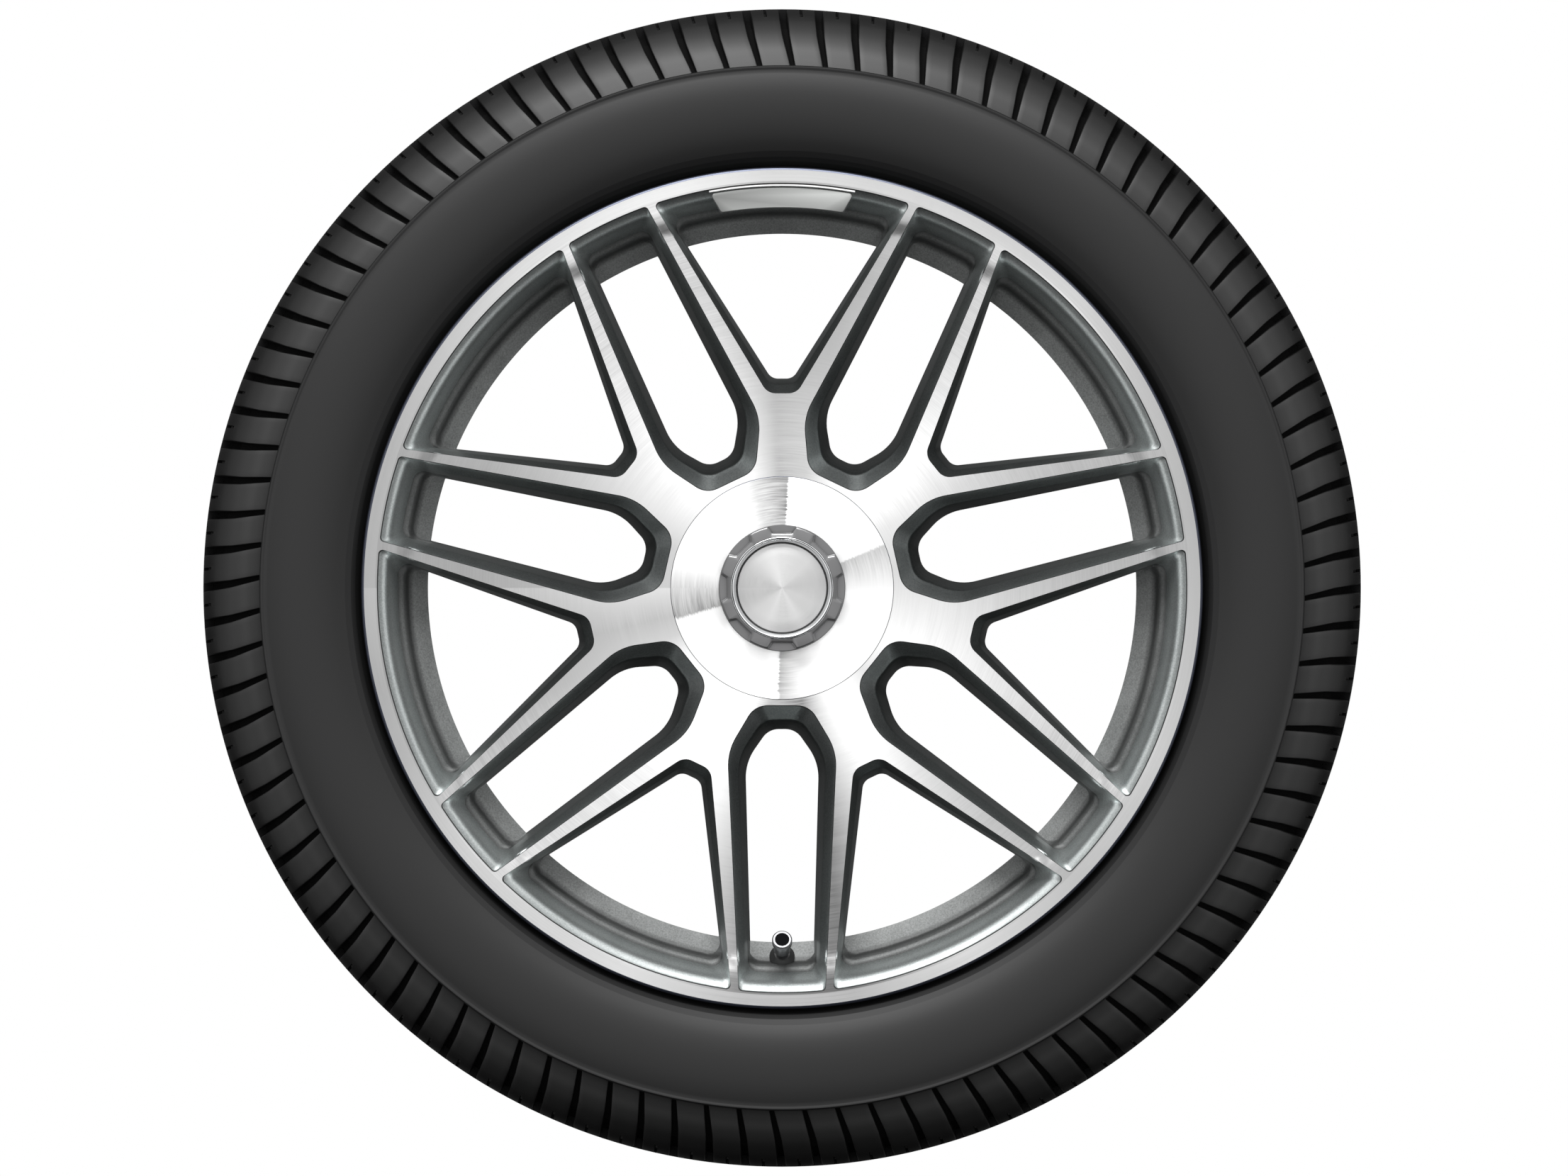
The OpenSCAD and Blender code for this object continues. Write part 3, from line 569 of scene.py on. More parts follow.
# Radii at which the face and the back of the spokes have points, more closely round the bend
FACE_RADII = (79, 84, 90, 97, 105, 114, 124, 135, 147, 160, 175, 190, 205, 220, 232, 240)
BEND_RADII = (
    246, 248, 249.5, 250.8, 252.1, 253.4, 254.7, 256, 257.3, 258.6, 259.9, 261.2, 262.5,
)
RIM_RADII = (264, 267, 270)
BACK_RADII = (81, 94, 112, 130, 150, 180, 210)
# Radii at which the outer ring begins and ends
RING_R, RING_END = 274.6, 282.2
# Mounting face: its radius and height, and the radius of the bore's chamfer in it
PAD_R, PAD_Z, BORE_EDGE_R = 78, 39, 34.3
BACK_PROFILE = [
    (PAD_R, PAD_Z), (81, 42), (94, 52), (112, cone_z(112) - 51), (150, cone_z(150) - 44),
    (INNER_R, cone_z(INNER_R) - SPOKE_DEPTH),
]


def inside(p, poly):
    """Whether the point lies in the polygon."""
    hit = False
    for (x0, y0), (x1, y1) in zip(poly, poly[1:] + poly[:1]):
        if (y0 > p[1]) != (y1 > p[1]) and p[0] < (x1 - x0) * (p[1] - y0) / (y1 - y0) + x0:
            hit = not hit
    return hit


def wedge_circle(r):
    """Points from the forked window's axis round to the straight window's axis."""
    return [spun((0, r), -WEDGE * i / WEDGE_STEPS) for i in range(WEDGE_STEPS + 1)]


def wedge_sheet(fork_half, slot_half, r_in, r_out, radii):
    """Triangles of the region of one wedge outside both windows. radii are (radius, steps)."""
    slot_half = [spun(p, -WEDGE, mirror=True) for p in slot_half]
    poly = fork_half + wedge_circle(r_out) + slot_half[::-1] + wedge_circle(r_in)[::-1]
    clean = [poly[0]]
    for p in poly[1:]:
        if math.dist(p, clean[-1]) > 1e-5:
            clean.append(p)
    points = list(clean)
    for r, n in radii:
        shift = 0.5 if n > WEDGE_STEPS else 0
        for i in range(n + 1):
            p = spun((0, r), -WEDGE * (i + shift) / n)
            if inside(p, clean) and min(math.dist(p, q) for q in clean) > SHEET_GAP:
                points.append(p)
    verts, _, faces, _, _, _ = delaunay_2d_cdt(
        [Vector(p) for p in points], [], [list(range(len(clean)))], 1, 1e-6
    )
    return [(v.x, v.y) for v in verts], faces


def add_sheet(shape, sheet, height, mat):
    """The sheet in every wedge, at the height that goes with its radius."""
    verts, faces = sheet
    for degrees, mirror in all_wedges():
        ids = [
            shape.vert(place(*spun((x, y, height(math.hypot(x, y))), degrees, mirror)))
            for x, y in verts
        ]
        for f in faces:
            shape.face([ids[k] for k in f], mat)


def add_face_and_back(shape, rings):
    outlines = {
        row: [[p[:2] for p in rings[kind][row]] for kind in ("fork", "slot")] for row in (0, -1)
    }
    radii = [(r, WEDGE_STEPS) for r in FACE_RADII]
    radii += [(r, 2 * WEDGE_STEPS) for r in BEND_RADII]
    radii += [(r, WEDGE_STEPS) for r in RIM_RADII]
    add_sheet(shape, wedge_sheet(*outlines[0], HUB_R, RING_R, radii), face_z, FACE)
    # the back's outer circle lies a little outside the windows' arcs
    radii = [(r, WEDGE_STEPS) for r in BACK_RADII]
    back = wedge_sheet(*outlines[-1], PAD_R, INNER_R + 0.3, radii)
    add_sheet(shape, back, lambda r: table(BACK_PROFILE, r), BACK)


# ---------------------------------------------------------------- wheel: rim and hub

FLANGE_R = 284
# Profiles as (radius, height): the rim's side towards the tyre at its outer edge, its well, the
# barrel seen through the windows, and the recess and bore of the hub
FLANGE_SIDE = [
    (FLANGE_R, 131), (FLANGE_R, 127.7), (282, 122.8), (277, 120.7), (273.2, 120.6), (268.6, 118.6),
    (266.7, 114.2), (265.3, 98.7), (267.2, 95.7), (267.2, 93.7), (263.7, 90.7),
]
WELL = [(249, 83), (244.9, 60), (244.9, 40), (251.9, 26), (257.9, -40), (261.7, -87.6)]
BARREL_PROFILE = [
    (FLANGE_R, -131), (282.5, -132.5), (278, -132.5), (275, -127.5), (262.7, -117.6),
    (259.2, -98.6), (256.2, -84.6), (251.8, -40), (246.3, 24), (239.3, 38), (INNER_R, 50),
    (INNER_R, cone_z(INNER_R) - SPOKE_DEPTH - 0.02),
    (INNER_R + 0.15, cone_z(INNER_R) - SPOKE_DEPTH + 0.6),
]
# Height of the recess's floor, on which the bolts seat
RECESS_Z = 56
HUB_PROFILE = [
    (HUB_R, HUB_Z), (HUB_R, 106.7), (71, 106.7), (71, RECESS_Z), (35.2, RECESS_Z), (35.2, 50),
    (33.3, 50), (33.3, 40), (BORE_EDGE_R, PAD_Z),
]
BOLTS, BOLT_CIRCLE_R, BOLT_HOLE_R, HOLE_STEPS = 5, 56, 7.5, 40

# Pads on the outer wall of the topmost window: the plain plate and the ledge above it. Sizes are
# half width outside and inside, outer and inner radius, and radius of the corners; then come the
# foot's growth, the top's height and the material
PADS = [
    ((48.3, 41, 270.3, 256.6, 2.0), 0.5, RIM_Z - 1.9, PLATE),
    ((49.5, 49.2, 272.7, 271.1, 0.3), 0.0, RIM_Z - 0.9, LEDGE),
]
PAD_DEPTH = 25
PAD_STEPS = 14


def add_rim(shape):
    shape.turned([(RING_R, RIM_Z), (279, RIM_Z), (RING_END, RIM_Z)], RING)
    shape.turned([(RING_END, RIM_Z), (283.0, RIM_Z - 0.25), (283.6, RIM_Z - 0.7),
                  (FLANGE_R, RIM_Z - 1.5)], LIP)
    shape.turned(FLANGE_SIDE + WELL + [(r, -z) for r, z in FLANGE_SIDE[::-1]], BACK)
    shape.turned(BARREL_PROFILE, BACK)


def add_hub(shape):
    """Recess and bore of the hub, and its mounting face with the bolt holes."""
    shape.turned(HUB_PROFILE, BACK)
    circle, bore = (
        [spun((0, r), 360 * i / ROUND_STEPS) for i in range(ROUND_STEPS)]
        for r in (PAD_R, BORE_EDGE_R)
    )
    centres = [spun((0, BOLT_CIRCLE_R), 360 / BOLTS * i) for i in range(BOLTS)]
    angles = [2 * math.pi * j / HOLE_STEPS for j in range(HOLE_STEPS)]
    holes = [
        [(x + BOLT_HOLE_R * math.cos(a), y + BOLT_HOLE_R * math.sin(a)) for a in angles]
        for x, y in centres
    ]
    points, edges = [], []
    for loop in [circle, bore] + holes:
        base = len(points)
        points += loop
        edges += [(base + j, base + (j + 1) % len(loop)) for j in range(len(loop))]
    verts, _, faces, _, _, _ = delaunay_2d_cdt([Vector(p) for p in points], edges, [], 0, 1e-6)
    ids = [shape.vert(place(v.x, v.y, PAD_Z)) for v in verts]
    for f in faces:
        c = (sum(verts[k].x for k in f) / len(f), sum(verts[k].y for k in f) / len(f))
        open_hole = any(math.dist(c, centre) <= BOLT_HOLE_R - 0.05 for centre in centres)
        if math.hypot(*c) > BORE_EDGE_R and not open_hole:
            shape.face([ids[k] for k in f], BACK)
    for loop in holes:
        shape.grid([level(loop, z) for z in (PAD_Z, RECESS_Z)], BACK, closed=True)


def bent_edge(r, start, end):
    """Points at radius r above x from start to end."""
    xs = [mix(start, end, k / PAD_STEPS) for k in range(PAD_STEPS + 1)]
    return [(x, math.sqrt(r * r - x * x)) for x in xs]


def plate_outline(half_out, half_in, out_r, in_r, rad, grow):
    """Outline of a plate bent along the rim, moved out by grow."""
    half_out, half_in, o, i = half_out + grow, half_in + grow, out_r + grow, in_r - grow
    y_out, y_in = math.sqrt(o * o - half_out ** 2), math.sqrt(i * i - half_in ** 2)
    c = [(-half_out, y_out), (half_out, y_out), (half_in, y_in), (-half_in, y_in)]
    upper = bent_edge(o, -half_out + 1.5 * rad, half_out - 1.5 * rad)
    lower = bent_edge(i, half_in - 1.5 * rad, -half_in + 1.5 * rad)
    right = corner(upper[-1], c[1], c[2], rad, 5) + corner(c[1], c[2], lower[0], rad, 5)
    left = corner(lower[-1], c[3], c[0], rad, 5) + corner(c[3], c[0], upper[0], rad, 5)
    return upper[1:-1] + right + lower[1:-1] + left


def add_pads(shape):
    for sizes, foot, top, mat in PADS:
        rows = [(foot, top - PAD_DEPTH), (foot, top - 0.7), (0, top - 0.6), (-0.12, top - 0.2),
                (-0.35, top)]
        rows = [level(plate_outline(*sizes, grow), z) for grow, z in rows]
        # The ring round each pad's top is a near-black line of painted shadow
        shape.grid(rows[:3], [POCKET, SHADE_LINE], closed=True)
        shape.grid(rows[2:], mat, closed=True)
        shape.face([shape.vert(p) for p in rows[-1]], mat)


def make_wheel():
    shape = Shape()
    rings = {kind: wall_rings(kind) for kind in ("fork", "slot")}
    add_walls(shape, rings)
    add_face_and_back(shape, rings)
    add_rim(shape)
    add_hub(shape)
    add_pads(shape)
    wheel = shape.build("wheel_forging", WHEEL_LOOKS)
    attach(wheel, "wheel")
    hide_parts("alloy_wheel")


# ---------------------------------------------------------------- tyre

BLOCKS = 100
TYRE_R, RIB_R = 390.45, 351.2
# (radius, height) of half the tyre: its side from the bead, and the tread between the shoulders
SIDE = [
    (266.9, 98), (266.8, 114), (268.6, 118.8), (273.2, 120.8), (279, 121.4), (284.6, 125.0),
    (286.0, 127.2), (288, 129.5), (291, 132.1), (295, 134.6), (300, 136.9), (306, 138.8),
    (313, 140.3), (320, 141.1), (327, 141.3), (334, 141.0), (341, 140.0), (347, 138.4),
    (349.6, 137.6), (350.3, 137.7), (351.0, 138.0), (351.7, 138.0), (352.2, 137.6), (352.5, 136.9),
]
TREAD = [
    (382.9, 63.6), (382.9, 56.4), (390.1, 55.0), (390.45, 54.6), (390.45, 40), (390.45, 24),
    (390.1, 23.5), (382.9, 22.1), (382.9, 14.9), (390.1, 13.5), (390.45, 13.0), (390.45, 0),
]
# The shoulder with its blocks: (radius, height, share of the grooves' depth)
SHOULDER = [
    (352.7, 136.3, 0), (353.1, 136.1, 0.5), (355.5, 135.1, 0.75), (359, 133.4, 0.85),
    (363, 131.6, 1), (368, 128.8, 1), (373, 125.2, 1), (377, 121.7, 1), (380, 118.6, 1),
    (382.4, 115.8, 1), (383.4, 114.4, 1.35), (385.4, 111.3, 1.4), (387.2, 107.4, 1.4),
    (388.6, 103.0, 1.4), (389.6, 98.0, 1.4), (390.1, 92.0, 1.4), (390.3, 82.0, 1.3),
    (390.4, 70.0, 1.2), (390.4, 65.4, 1.2), (390.1, 64.9, 1.1),
]
# Inner face, from bead to bead
INNER_FACE = [
    (266.9, -98), (270, -92), (281, -115), (290, -122), (304, -129), (330, -131.5), (345, -128.8),
    (372, -101), (373.4, 0), (372, 101), (345, 128.8), (330, 131.5), (304, 129), (290, 122),
    (281, 115), (270, 92), (266.9, 98),
]
# A groove's depth, its width at the rib and at the tread, and its lean in degrees at the rib
GROOVE, GROOVE_IN, GROOVE_OUT, LEAN = 6.0, 3.3, 5.8, 1.17
# Share of the depth across a groove, by offset from its middle in half widths. The first
# GROOVE_QUADS quads of each block's row are the groove's own, in near-black rubber that is painted
# shade
GROOVE_MARKS = [(-1.0, 0.14), (-0.82, 0.97), (-0.6, 1), (0.6, 1), (0.82, 0.97), (1.0, 0.14),
                (1.18, 0.03), (1.5, 0)]
GROOVE_QUADS = 5
# Thin cut across the middle of a block: half width, share of the depth, and where it begins
SIPE, SIPE_DEPTH, SIPE_FROM = 0.9, 0.45, 386.2

# Material numbers of the tyre, in the order of the list in make_tyre()
RUBBER, SHADED_GROOVE, TREAD_RUBBER, BLOCK, SHADED_FOOT, SHADED_BEAD = range(6)
# Materials of the side, each up to a radius, and the sidewall's from there. The rings next to the
# rim step from dull, dark rubber to the tread's: painted shade by the rim's flange
SIDE_LOOKS = [(287, SHADED_FOOT), (290, SHADED_BEAD), (293, TREAD_RUBBER)]
# Painted highlight and shade on the shoulder blocks: lightest near 363 mm, darker towards the rib
# and the tread
BLOCK_SHEEN_AND_SHADE = [(0.352, 0.003), (0.358, 0.010), (0.363, 0.016), (0.370, 0.010), (0.378, 0.004)]


def side_look(r):
    return next((look for end, look in SIDE_LOOKS if r < end), RUBBER)


def block_row(r, z, share):
    """One ring of a shoulder: blocks parted by grooves."""
    t = max(0.0, min(1.0, (r - RIB_R - 0.9) / (TYRE_R + 2 - RIB_R - 0.9)))
    lean = LEAN * table([(0, 1), (0.5, 0.35), (1, 0)], t)
    width = mix(GROOVE_IN, GROOVE_OUT, table([(0, 0), (0.5, 0.55), (1, 1)], t))
    half = math.degrees(width / 2 / r)
    step = 360 / BLOCKS
    # the grooves go in along the shoulder's slope, which turns from sideways to inwards
    out = table([(375, 0.25), (388, 1)], r)
    size = math.hypot(out, 1 - out)
    low, high = half * 1.5, step - half * 1.5
    sipe, cut = math.degrees(SIPE / r), SIPE_DEPTH if r > SIPE_FROM else 0
    marks = [(half * k, deep) for k, deep in GROOVE_MARKS]
    marks += [(mix(low, high, k / 6), 0) for k in (1, 2)]
    marks += [(step / 2 - sipe * 1.1, 0), (step / 2 - sipe, cut)]
    marks += [(step / 2 + sipe, cut), (step / 2 + sipe * 1.1, 0)]
    marks += [(mix(low, high, k / 6), 0) for k in (4, 5)]
    marks += [(high, 0), (step - half * 1.18, 0.03)]
    row = []
    for b in range(BLOCKS):
        mid = 90 + b * step - lean
        for off, deep in marks:
            d = GROOVE * share * deep
            rr, zz = r - d * out / size, z - d * (1 - out) / size
            a = math.radians(mid + off)
            row.append((rr * math.cos(a), rr * math.sin(a), zz))
    return row


def add_blocks(shape, rows):
    """Grid of a shoulder, with near-black rubber on the grooves' floors and sides as painted shade.
    """
    n = len(rows[0])
    per_block = n // BLOCKS
    ids = [[shape.vert(p) for p in row] for row in rows]
    for i in range(len(rows) - 1):
        for j in range(n):
            k = (j + 1) % n
            mat = SHADED_GROOVE if j % per_block < GROOVE_QUADS else BLOCK
            shape.face((ids[i][j], ids[i][k], ids[i + 1][k], ids[i + 1][j]), mat)


def make_tyre():
    shape = Shape()
    for side in (1, -1):
        wall = SIDE + [SHOULDER[0][:2]]
        looks = [side_look(r) for r, _ in SIDE]
        shape.turned([(r, side * z) for r, z in wall], looks)
        rows = [block_row(r, z, share) for r, z, share in SHOULDER]
        add_blocks(shape, [[place(x, y, side * z) for x, y, z in row] for row in rows])
        shape.turned([(r, side * z) for r, z in [SHOULDER[-1][:2]] + TREAD], TREAD_RUBBER)
    shape.turned(INNER_FACE, RUBBER, 140)
    tyre = shape.build("tyre_rubber", [
        plain("tyre rubber", (0.005, 0.005, 0.0051), Roughness=0.48, Specular_IOR_Level=0.30),
        plain("groove shade rubber", (0.003, 0.003, 0.003), Roughness=0.9, Specular_IOR_Level=0.05),
        plain("tread rubber", (0.006, 0.006, 0.0062), Roughness=0.47, Specular_IOR_Level=0.22),
        rubber_by_radius("block rubber with painted sheen", BLOCK_SHEEN_AND_SHADE),
        plain("shaded bead foot", (0.004, 0.004, 0.004), Roughness=0.5, Specular_IOR_Level=0.16),
        plain("shaded bead rubber", (0.005, 0.005, 0.0051), Roughness=0.5, Specular_IOR_Level=0.16),
    ], sharp=32)
    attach(tyre, "wheel")
    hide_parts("tyre")


# ---------------------------------------------------------------- hub cover, nut, bezel and disc

COVER_R, COVER_FOOT, COVER_EDGE_Z = 75.2, 108, 111.02
# Radius of the hole in the cover, and height of the face round it
COVER_HOLE_R, COVER_TOP = 31.4, 112.2
# Guide ring under the cover
GUIDE_IN, GUIDE_OUT, GUIDE_FOOT = 66, 68.5, 99

NUT_R, NUT_BASE, NUT_TOP = 42.7, 112.6, 123.6
NUT_FLANGE = NUT_BASE + 3
NUT_STEPS = 160
NOTCHES, NOTCH_R, NOTCH_IN, NOTCH_OUT = 8, 37.3, 12.7, 18.6
NOTCH_CORNERS = (1.2, 1.6, 1.6, 1.2)
# How the nut's upper edge is rounded: (distance moved in, height)
NUT_EDGE = [
    (0, NUT_FLANGE), (0, NUT_TOP - 1.6), (0.35, NUT_TOP - 0.8), (0.9, NUT_TOP - 0.25),
    (1.6, NUT_TOP),
]
# Seat of the bezel and the disc in the nut: radius, and height of its floor
SEAT_R, SEAT_Z = 34.7, 117.1
THREAD_R, THREAD_BORE_R, THREAD_FOOT = 31, 26, 83
RING_STEPS = 200
# Radius of the pole point that closes a turned face at the axis
POLE_R = 0.01

# Heights of the bezel's and the disc's profiles are above the seat's floor
BEZEL_DARK = [(30.4, 1.2), (30.4, 2.0), (31.2, 3.3)]
BEZEL_SLOPE = [(31.2, 3.3), (31.6, 4.3), (32.2, 6.2), (32.6, 7.0), (32.95, 7.3), (33.4, 7.35)]
BEZEL_GROOVE = [(33.4, 7.35), (33.45, 6.4), (34.0, 6.4), (34.05, 7.35)]
BEZEL_RIM = [(34.05, 7.35), (34.3, 7.3), (34.5, 6.95), (34.6, 6.2), (34.6, 0.1)]
DISC = [(30.25, 0.1), (30.25, 1.4), (30.05, 1.7), (29.7, 1.85), (22, 2.15), (12, 2.4), (4, 2.5),
        (POLE_R, 2.5)]


def make_cover():
    """Turned cover: material 0 is its face, 1 its edge and underside."""
    shape = Shape()
    shape.turned([(COVER_R, COVER_FOOT), (COVER_R, 110.8), (COVER_R - 0.06, 110.95),
                  (COVER_R - 0.2, COVER_EDGE_Z)], 1)
    shape.turned([(COVER_R - 0.2, COVER_EDGE_Z), (66, 111.4), (55, 111.8), (43.7, COVER_TOP),
                  (COVER_HOLE_R, COVER_TOP)], 0)
    shape.turned([(COVER_HOLE_R, COVER_TOP), (COVER_HOLE_R, 109.2), (GUIDE_IN, COVER_FOOT),
                  (GUIDE_IN, GUIDE_FOOT), (GUIDE_OUT, GUIDE_FOOT), (GUIDE_OUT, COVER_FOOT),
                  (COVER_R, COVER_FOOT)], 1)
    # The cover's grey carries the default fans of painted reflection
    face = turned_metal("turned cover", [(0.03, 0.9), (0.076, 0.9)], 0.42, 0.07)
    cover = shape.build("turned_cover", [face, LIP_METAL])
    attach(cover, "hub_cover")
    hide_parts("hub_cover")


def nut_outline(grow):
    """Nut's edge with its notches, moved in by grow."""
    step = 360 / NOTCHES
    r = NUT_R - grow
    floor = NOTCH_R - grow * 0.9
    half_in, half_out = NOTCH_IN / 2 + grow * 0.8, NOTCH_OUT / 2 + grow * 0.8
    y_out = math.sqrt(r * r - half_out ** 2)
    notch = [(half_out, y_out), (half_in, floor), (-half_in, floor), (-half_out, y_out)]
    # the middle of the tooth on either side
    side_x, side_y = math.sin(math.radians(step / 2)) * r, math.cos(math.radians(step / 2)) * r
    path = [(side_x, side_y)] + notch + [(-side_x, side_y)]
    arc = []
    for k, rad in enumerate(NOTCH_CORNERS):
        arc += corner(path[k], path[k + 1], path[k + 2], rad, 4)
    tooth, edge = math.radians(90 - step / 2), math.atan2(arc[0][1], arc[0][0])
    angles = [mix(tooth, edge, k / 4) for k in range(4)]
    lead = [(r * math.cos(b), r * math.sin(b)) for b in angles]
    trail = [(-x, y) for x, y in lead[::-1]]
    one = lead + arc + trail[:-1]
    return [spun(p, i * step) for i in range(NOTCHES) for p in one]


def make_nut():
    shape = Shape()
    shape.grid([level(nut_outline(grow), z) for grow, z in NUT_EDGE], 0, closed=True)
    outer = nut_outline(NUT_EDGE[-1][0])
    ring = [(SEAT_R * x / math.hypot(x, y), SEAT_R * y / math.hypot(x, y)) for x, y in outer]
    crest = level(ring, NUT_TOP + 0.5)
    shape.grid([level(outer, NUT_TOP), crest], 0, closed=True)
    shape.grid([crest, level(ring, SEAT_Z)], 0, closed=True)
    shape.turned([(THREAD_R, NUT_BASE), (NUT_R, NUT_BASE), (NUT_R, NUT_FLANGE - 0.6),
                  (NUT_R - 0.5, NUT_FLANGE), (NOTCH_R - 1.5, NUT_FLANGE)], 0, NUT_STEPS)
    shape.turned([(THREAD_R, NUT_BASE), (THREAD_R, THREAD_FOOT), (THREAD_BORE_R, THREAD_FOOT),
                  (THREAD_BORE_R, NUT_BASE), (POLE_R, NUT_BASE)], 0, NUT_STEPS)
    grey = plain("grey nut", (0.145, 0.145, 0.147), Metallic=0.9, Roughness=0.3)
    nut = shape.build("notched_nut", [grey], sharp=30)
    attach(nut, "cap_nut")
    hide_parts("cap_nut")


def make_bezel():
    """Bright ring in the nut: material 0 is the metal, 1 the dark lines in it, which are painted
    shade.
    """
    shape = Shape()
    for profile, mat in ((BEZEL_DARK, 1), (BEZEL_SLOPE, 0), (BEZEL_GROOVE, 1), (BEZEL_RIM, 0)):
        shape.turned([(r, SEAT_Z + z) for r, z in profile], mat, RING_STEPS)
    chrome = plain("bright ring", (0.72, 0.73, 0.74), Metallic=1.0, Roughness=0.06)
    bezel = shape.build("bright_bezel", [chrome, SHADE_LINE_PAINT], sharp=50)
    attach(bezel, "cap_nut")
    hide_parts("cap_bezel")


def make_disc():
    shape = Shape()
    shape.turned([(r, SEAT_Z + z) for r, z in DISC], 0, RING_STEPS)
    tones = [(0.0, 0.50), (0.03, 0.48)]
    # Faint fans of painted reflection on the disc
    satin = turned_metal("satin disc", tones, 0.40, 0.02, 0.7, 0.5, FACE_REFLECTION_FANS)
    disc = shape.build("satin_disc", [satin], sharp=50)
    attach(disc, "cap_nut")
    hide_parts("cap_disc")


# ---------------------------------------------------------------- valve core's spring


def make_spring():
    """Coil of the valve core, copied as one rigid piece carried with the wheel; the real coil
    shortens from its outer end as the pin is pressed in.
    """
    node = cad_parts["valve_spring"]
    mesh = node.data.copy()
    mesh.transform(node.matrix_world)
    mesh.materials.clear()
    mesh.materials.append(plain("spring wire", (0.45, 0.45, 0.47), Metallic=1.0, Roughness=0.25))
    spring = bpy.data.objects.new("core_coil", mesh)
    bpy.context.scene.collection.objects.link(spring)
    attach(spring, "wheel")
    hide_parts("valve_spring")
    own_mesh(spring)


# ---------------------------------------------------------------- other nodes, studio, camera

def paint_nodes():
    """Materials of the CAD nodes that are shown as they are."""
    rubber = plain("seal rubber", (0.012, 0.012, 0.012), Roughness=0.55)
    metal = plain("valve metal", (0.30, 0.30, 0.31), Metallic=1.0, Roughness=0.2)
    cap = plain("valve cap metal", (0.15, 0.15, 0.155), Metallic=1.0, Roughness=0.38)
    bare = plain("bare alloy", (0.5, 0.5, 0.5), Metallic=1.0, Roughness=0.35)
    brass = plain("brass", (0.6, 0.45, 0.2), Metallic=1.0, Roughness=0.3)
    steel = plain("spring steel", (0.45, 0.45, 0.47), Metallic=1.0, Roughness=0.25)
    dark = plain("dark insert", (0.002, 0.002, 0.0025), Roughness=0.7, Specular_IOR_Level=0.04)
    plastic = plain("sensor plastic", (0.03, 0.03, 0.03), Roughness=0.6)
    looks = {
        "cover_gasket": rubber, "cap_seal": rubber, "valve_grommet": rubber,
        "valve_core_seal": rubber, "valve_core_cup": rubber, "valve_cap_seal": rubber,
        "retaining_ring": steel, "cap_carrier": bare, "valve_stem": metal, "valve_cap": cap,
        "valve_core_barrel": brass, "valve_core_pin": brass, "valve_cap_insert": dark,
        "sensor_housing": plastic, "sensor_screw": steel,
    }
    for name, mat in looks.items():
        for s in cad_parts[name].material_slots:
            s.material = mat


# Width of the picture, where its middle lies, and where the camera stands, in metres
PICTURE_WIDTH, PICTURE_X, CAMERA_Y = 1.0578, 0.00129, -3
# Strength of the light round the front by angle, and off the axis by height: a slanting light
# between the front and the horizon, and the horizon's own with a dark ground
SECTORS = [
    (-180, 0.65), (-164, 0.4), (-163, 1.0), (-94, 1.0), (-93, 0.2), (-75, 0.5), (-52, 1.0),
    (-12, 1.0), (0, 0.6), (16, 0.3), (18, 1.0), (87, 1.0), (88, 0.5), (115, 1.0), (162, 1.0),
    (180, 0.65),
]
SLANT = [(0.0, 0.0), (0.25, 0.04), (0.45, 0.3), (0.6, 0.6), (0.8, 1.0), (1.0, 1.1)]
HORIZON = [(0.0, 0.04), (0.08, 0.08), (0.15, 0.35), (0.25, 0.8), (1.0, 0.9)]
# Where, by distance from the axis, the sectors set in, the front ends and the horizon begins
SECTORS_IN = [(0.03, 0.0), (0.16, 1.0)]
FRONT_END = [(0.45, 1.0), (0.68, 0.0)]
HORIZON_IN = [(0.84, 0.0), (0.94, 1.0)]
# What is left of the light from behind, and the strength of the whole
BEHIND = 0.05
FRONT_LIGHT = 1.7


def add_camera(scene):
    cam = bpy.data.cameras.new("camera")
    cam.type = "ORTHO"
    cam.ortho_scale = PICTURE_WIDTH
    cam.clip_end = 20
    obj = bpy.data.objects.new("camera", cam)
    obj.location = (PICTURE_X, CAMERA_Y, 0)
    obj.rotation_euler = (math.pi / 2, 0, 0)
    scene.collection.objects.link(obj)
    scene.camera = obj


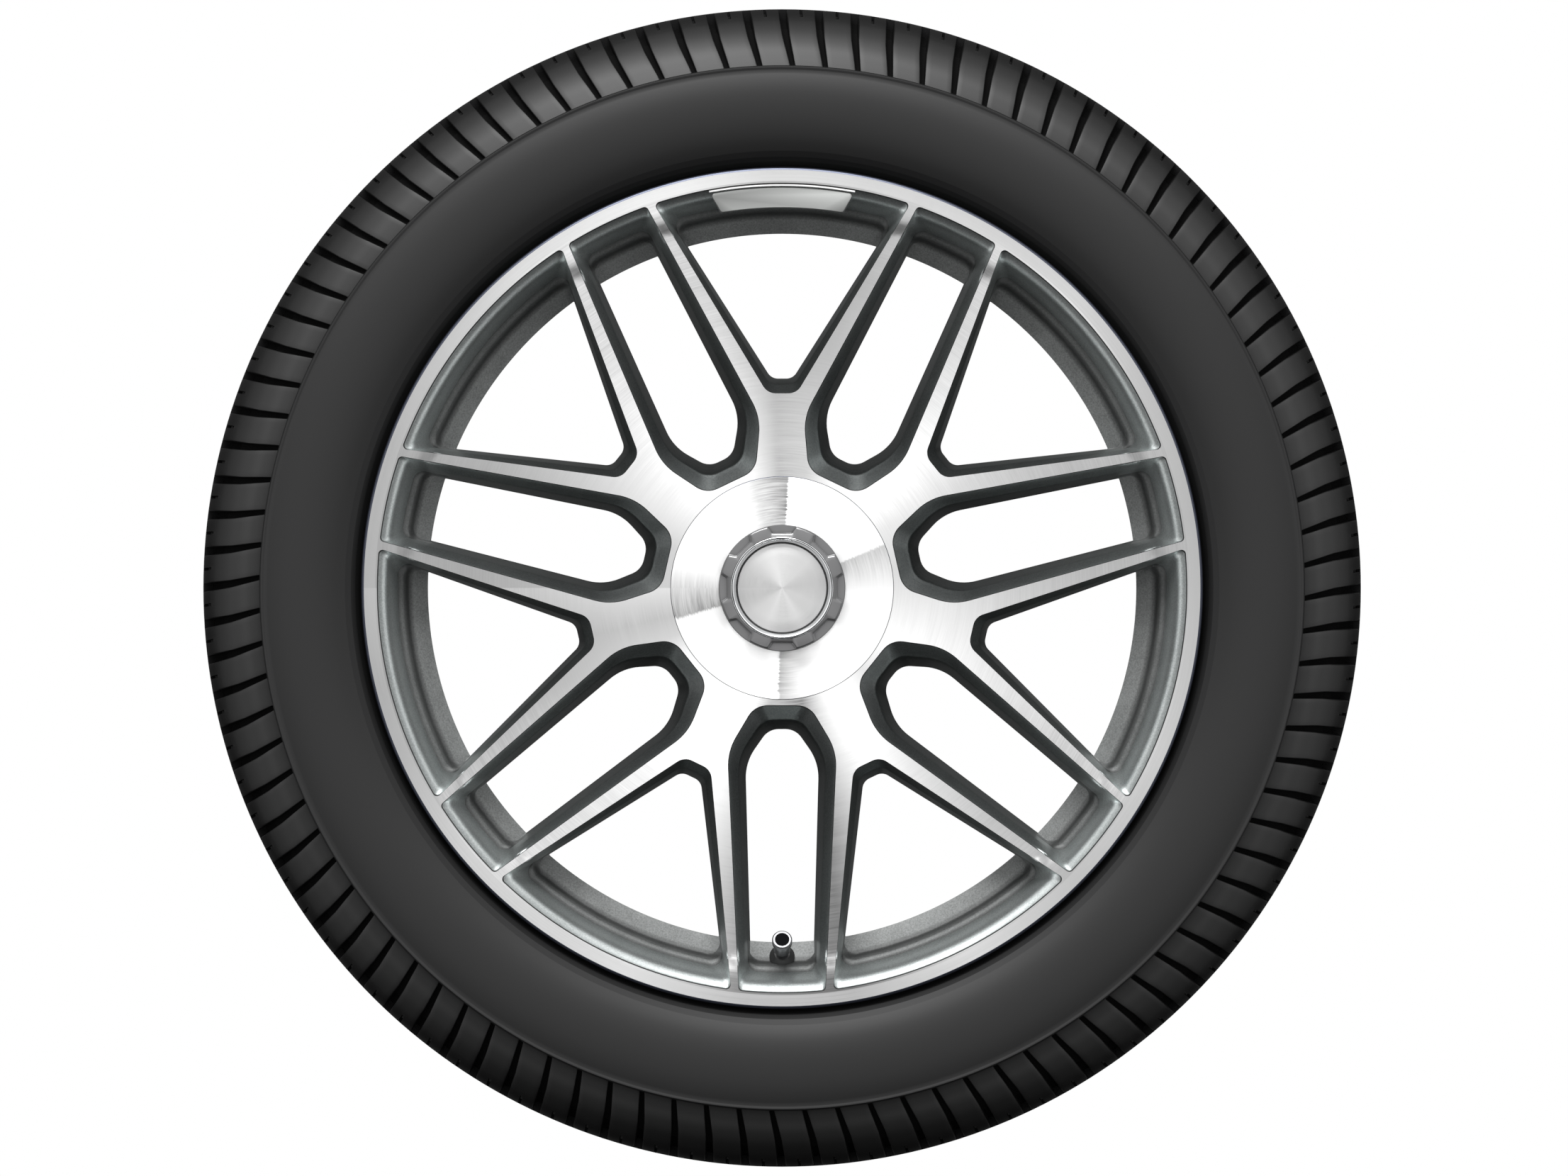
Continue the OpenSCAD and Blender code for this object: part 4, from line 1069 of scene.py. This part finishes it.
def light_strength(w):
    """Light from the front with dark bands that the turned face mirrors as sectors."""
    off, _, turn, y, z = w.around(w.add("ShaderNodeTexCoord").outputs["Generated"])
    height = w.math("MULTIPLY_ADD", z, 0.5, 0.5)
    sectors = w.math("SUBTRACT", w.ramp(turn, by_angle(SECTORS)), 1.0)
    front = w.math("ADD", w.math("MULTIPLY", sectors, w.ramp(off, SECTORS_IN)), 1.0)
    near, far = w.ramp(off, FRONT_END), w.ramp(off, HORIZON_IN)
    middle = w.math("SUBTRACT", w.math("SUBTRACT", 1.0, near), far)
    shade = w.math("MULTIPLY", front, near)
    shade = w.math("MULTIPLY_ADD", w.ramp(height, SLANT), middle, shade)
    shade = w.math("MULTIPLY_ADD", w.ramp(height, HORIZON), far, shade)
    behind = w.ramp(w.math("MULTIPLY_ADD", y, 0.5, 0.5), [(0.5, 1.0), (0.6, BEHIND)])
    return w.math("MULTIPLY", w.math("MULTIPLY", shade, behind), FRONT_LIGHT)


def add_world(scene):
    """The light round the part, which the camera sees as plain white."""
    scene.world = bpy.data.worlds.new("studio")
    scene.world.use_nodes = True
    w = Tree(scene.world.node_tree)
    back = w.tree.nodes["Background"]
    white = w.add("ShaderNodeBackground")
    for background in (back, white):
        background.inputs["Color"].default_value = (1, 1, 1, 1)
    w.link(light_strength(w), back.inputs["Strength"])
    blend = w.add("ShaderNodeMixShader")
    w.link(w.add("ShaderNodeLightPath").outputs["Is Camera Ray"], blend.inputs[0])
    w.link(back.outputs[0], blend.inputs[1])
    w.link(white.outputs[0], blend.inputs[2])
    w.link(blend.outputs[0], w.tree.nodes["World Output"].inputs[0])


def add_lamp(scene):
    light = bpy.data.lights.new("softbox", "AREA")
    light.shape = "RECTANGLE"
    light.size, light.size_y = 1.8, 0.9
    light.energy = 80
    lamp = bpy.data.objects.new("softbox", light)
    lamp.location = (-0.3, -1.7, 2.1)
    aim = (Vector((0, 0, 0)) - lamp.location).to_track_quat("-Z", "Y")
    lamp.rotation_euler = aim.to_euler()
    scene.collection.objects.link(lamp)


def studio():
    scene = bpy.context.scene
    scene.view_settings.view_transform = "Standard"
    add_camera(scene)
    add_world(scene)
    add_lamp(scene)


make_wheel()
make_tyre()
make_cover()
make_nut()
make_bezel()
make_disc()
make_spring()
paint_nodes()
studio()
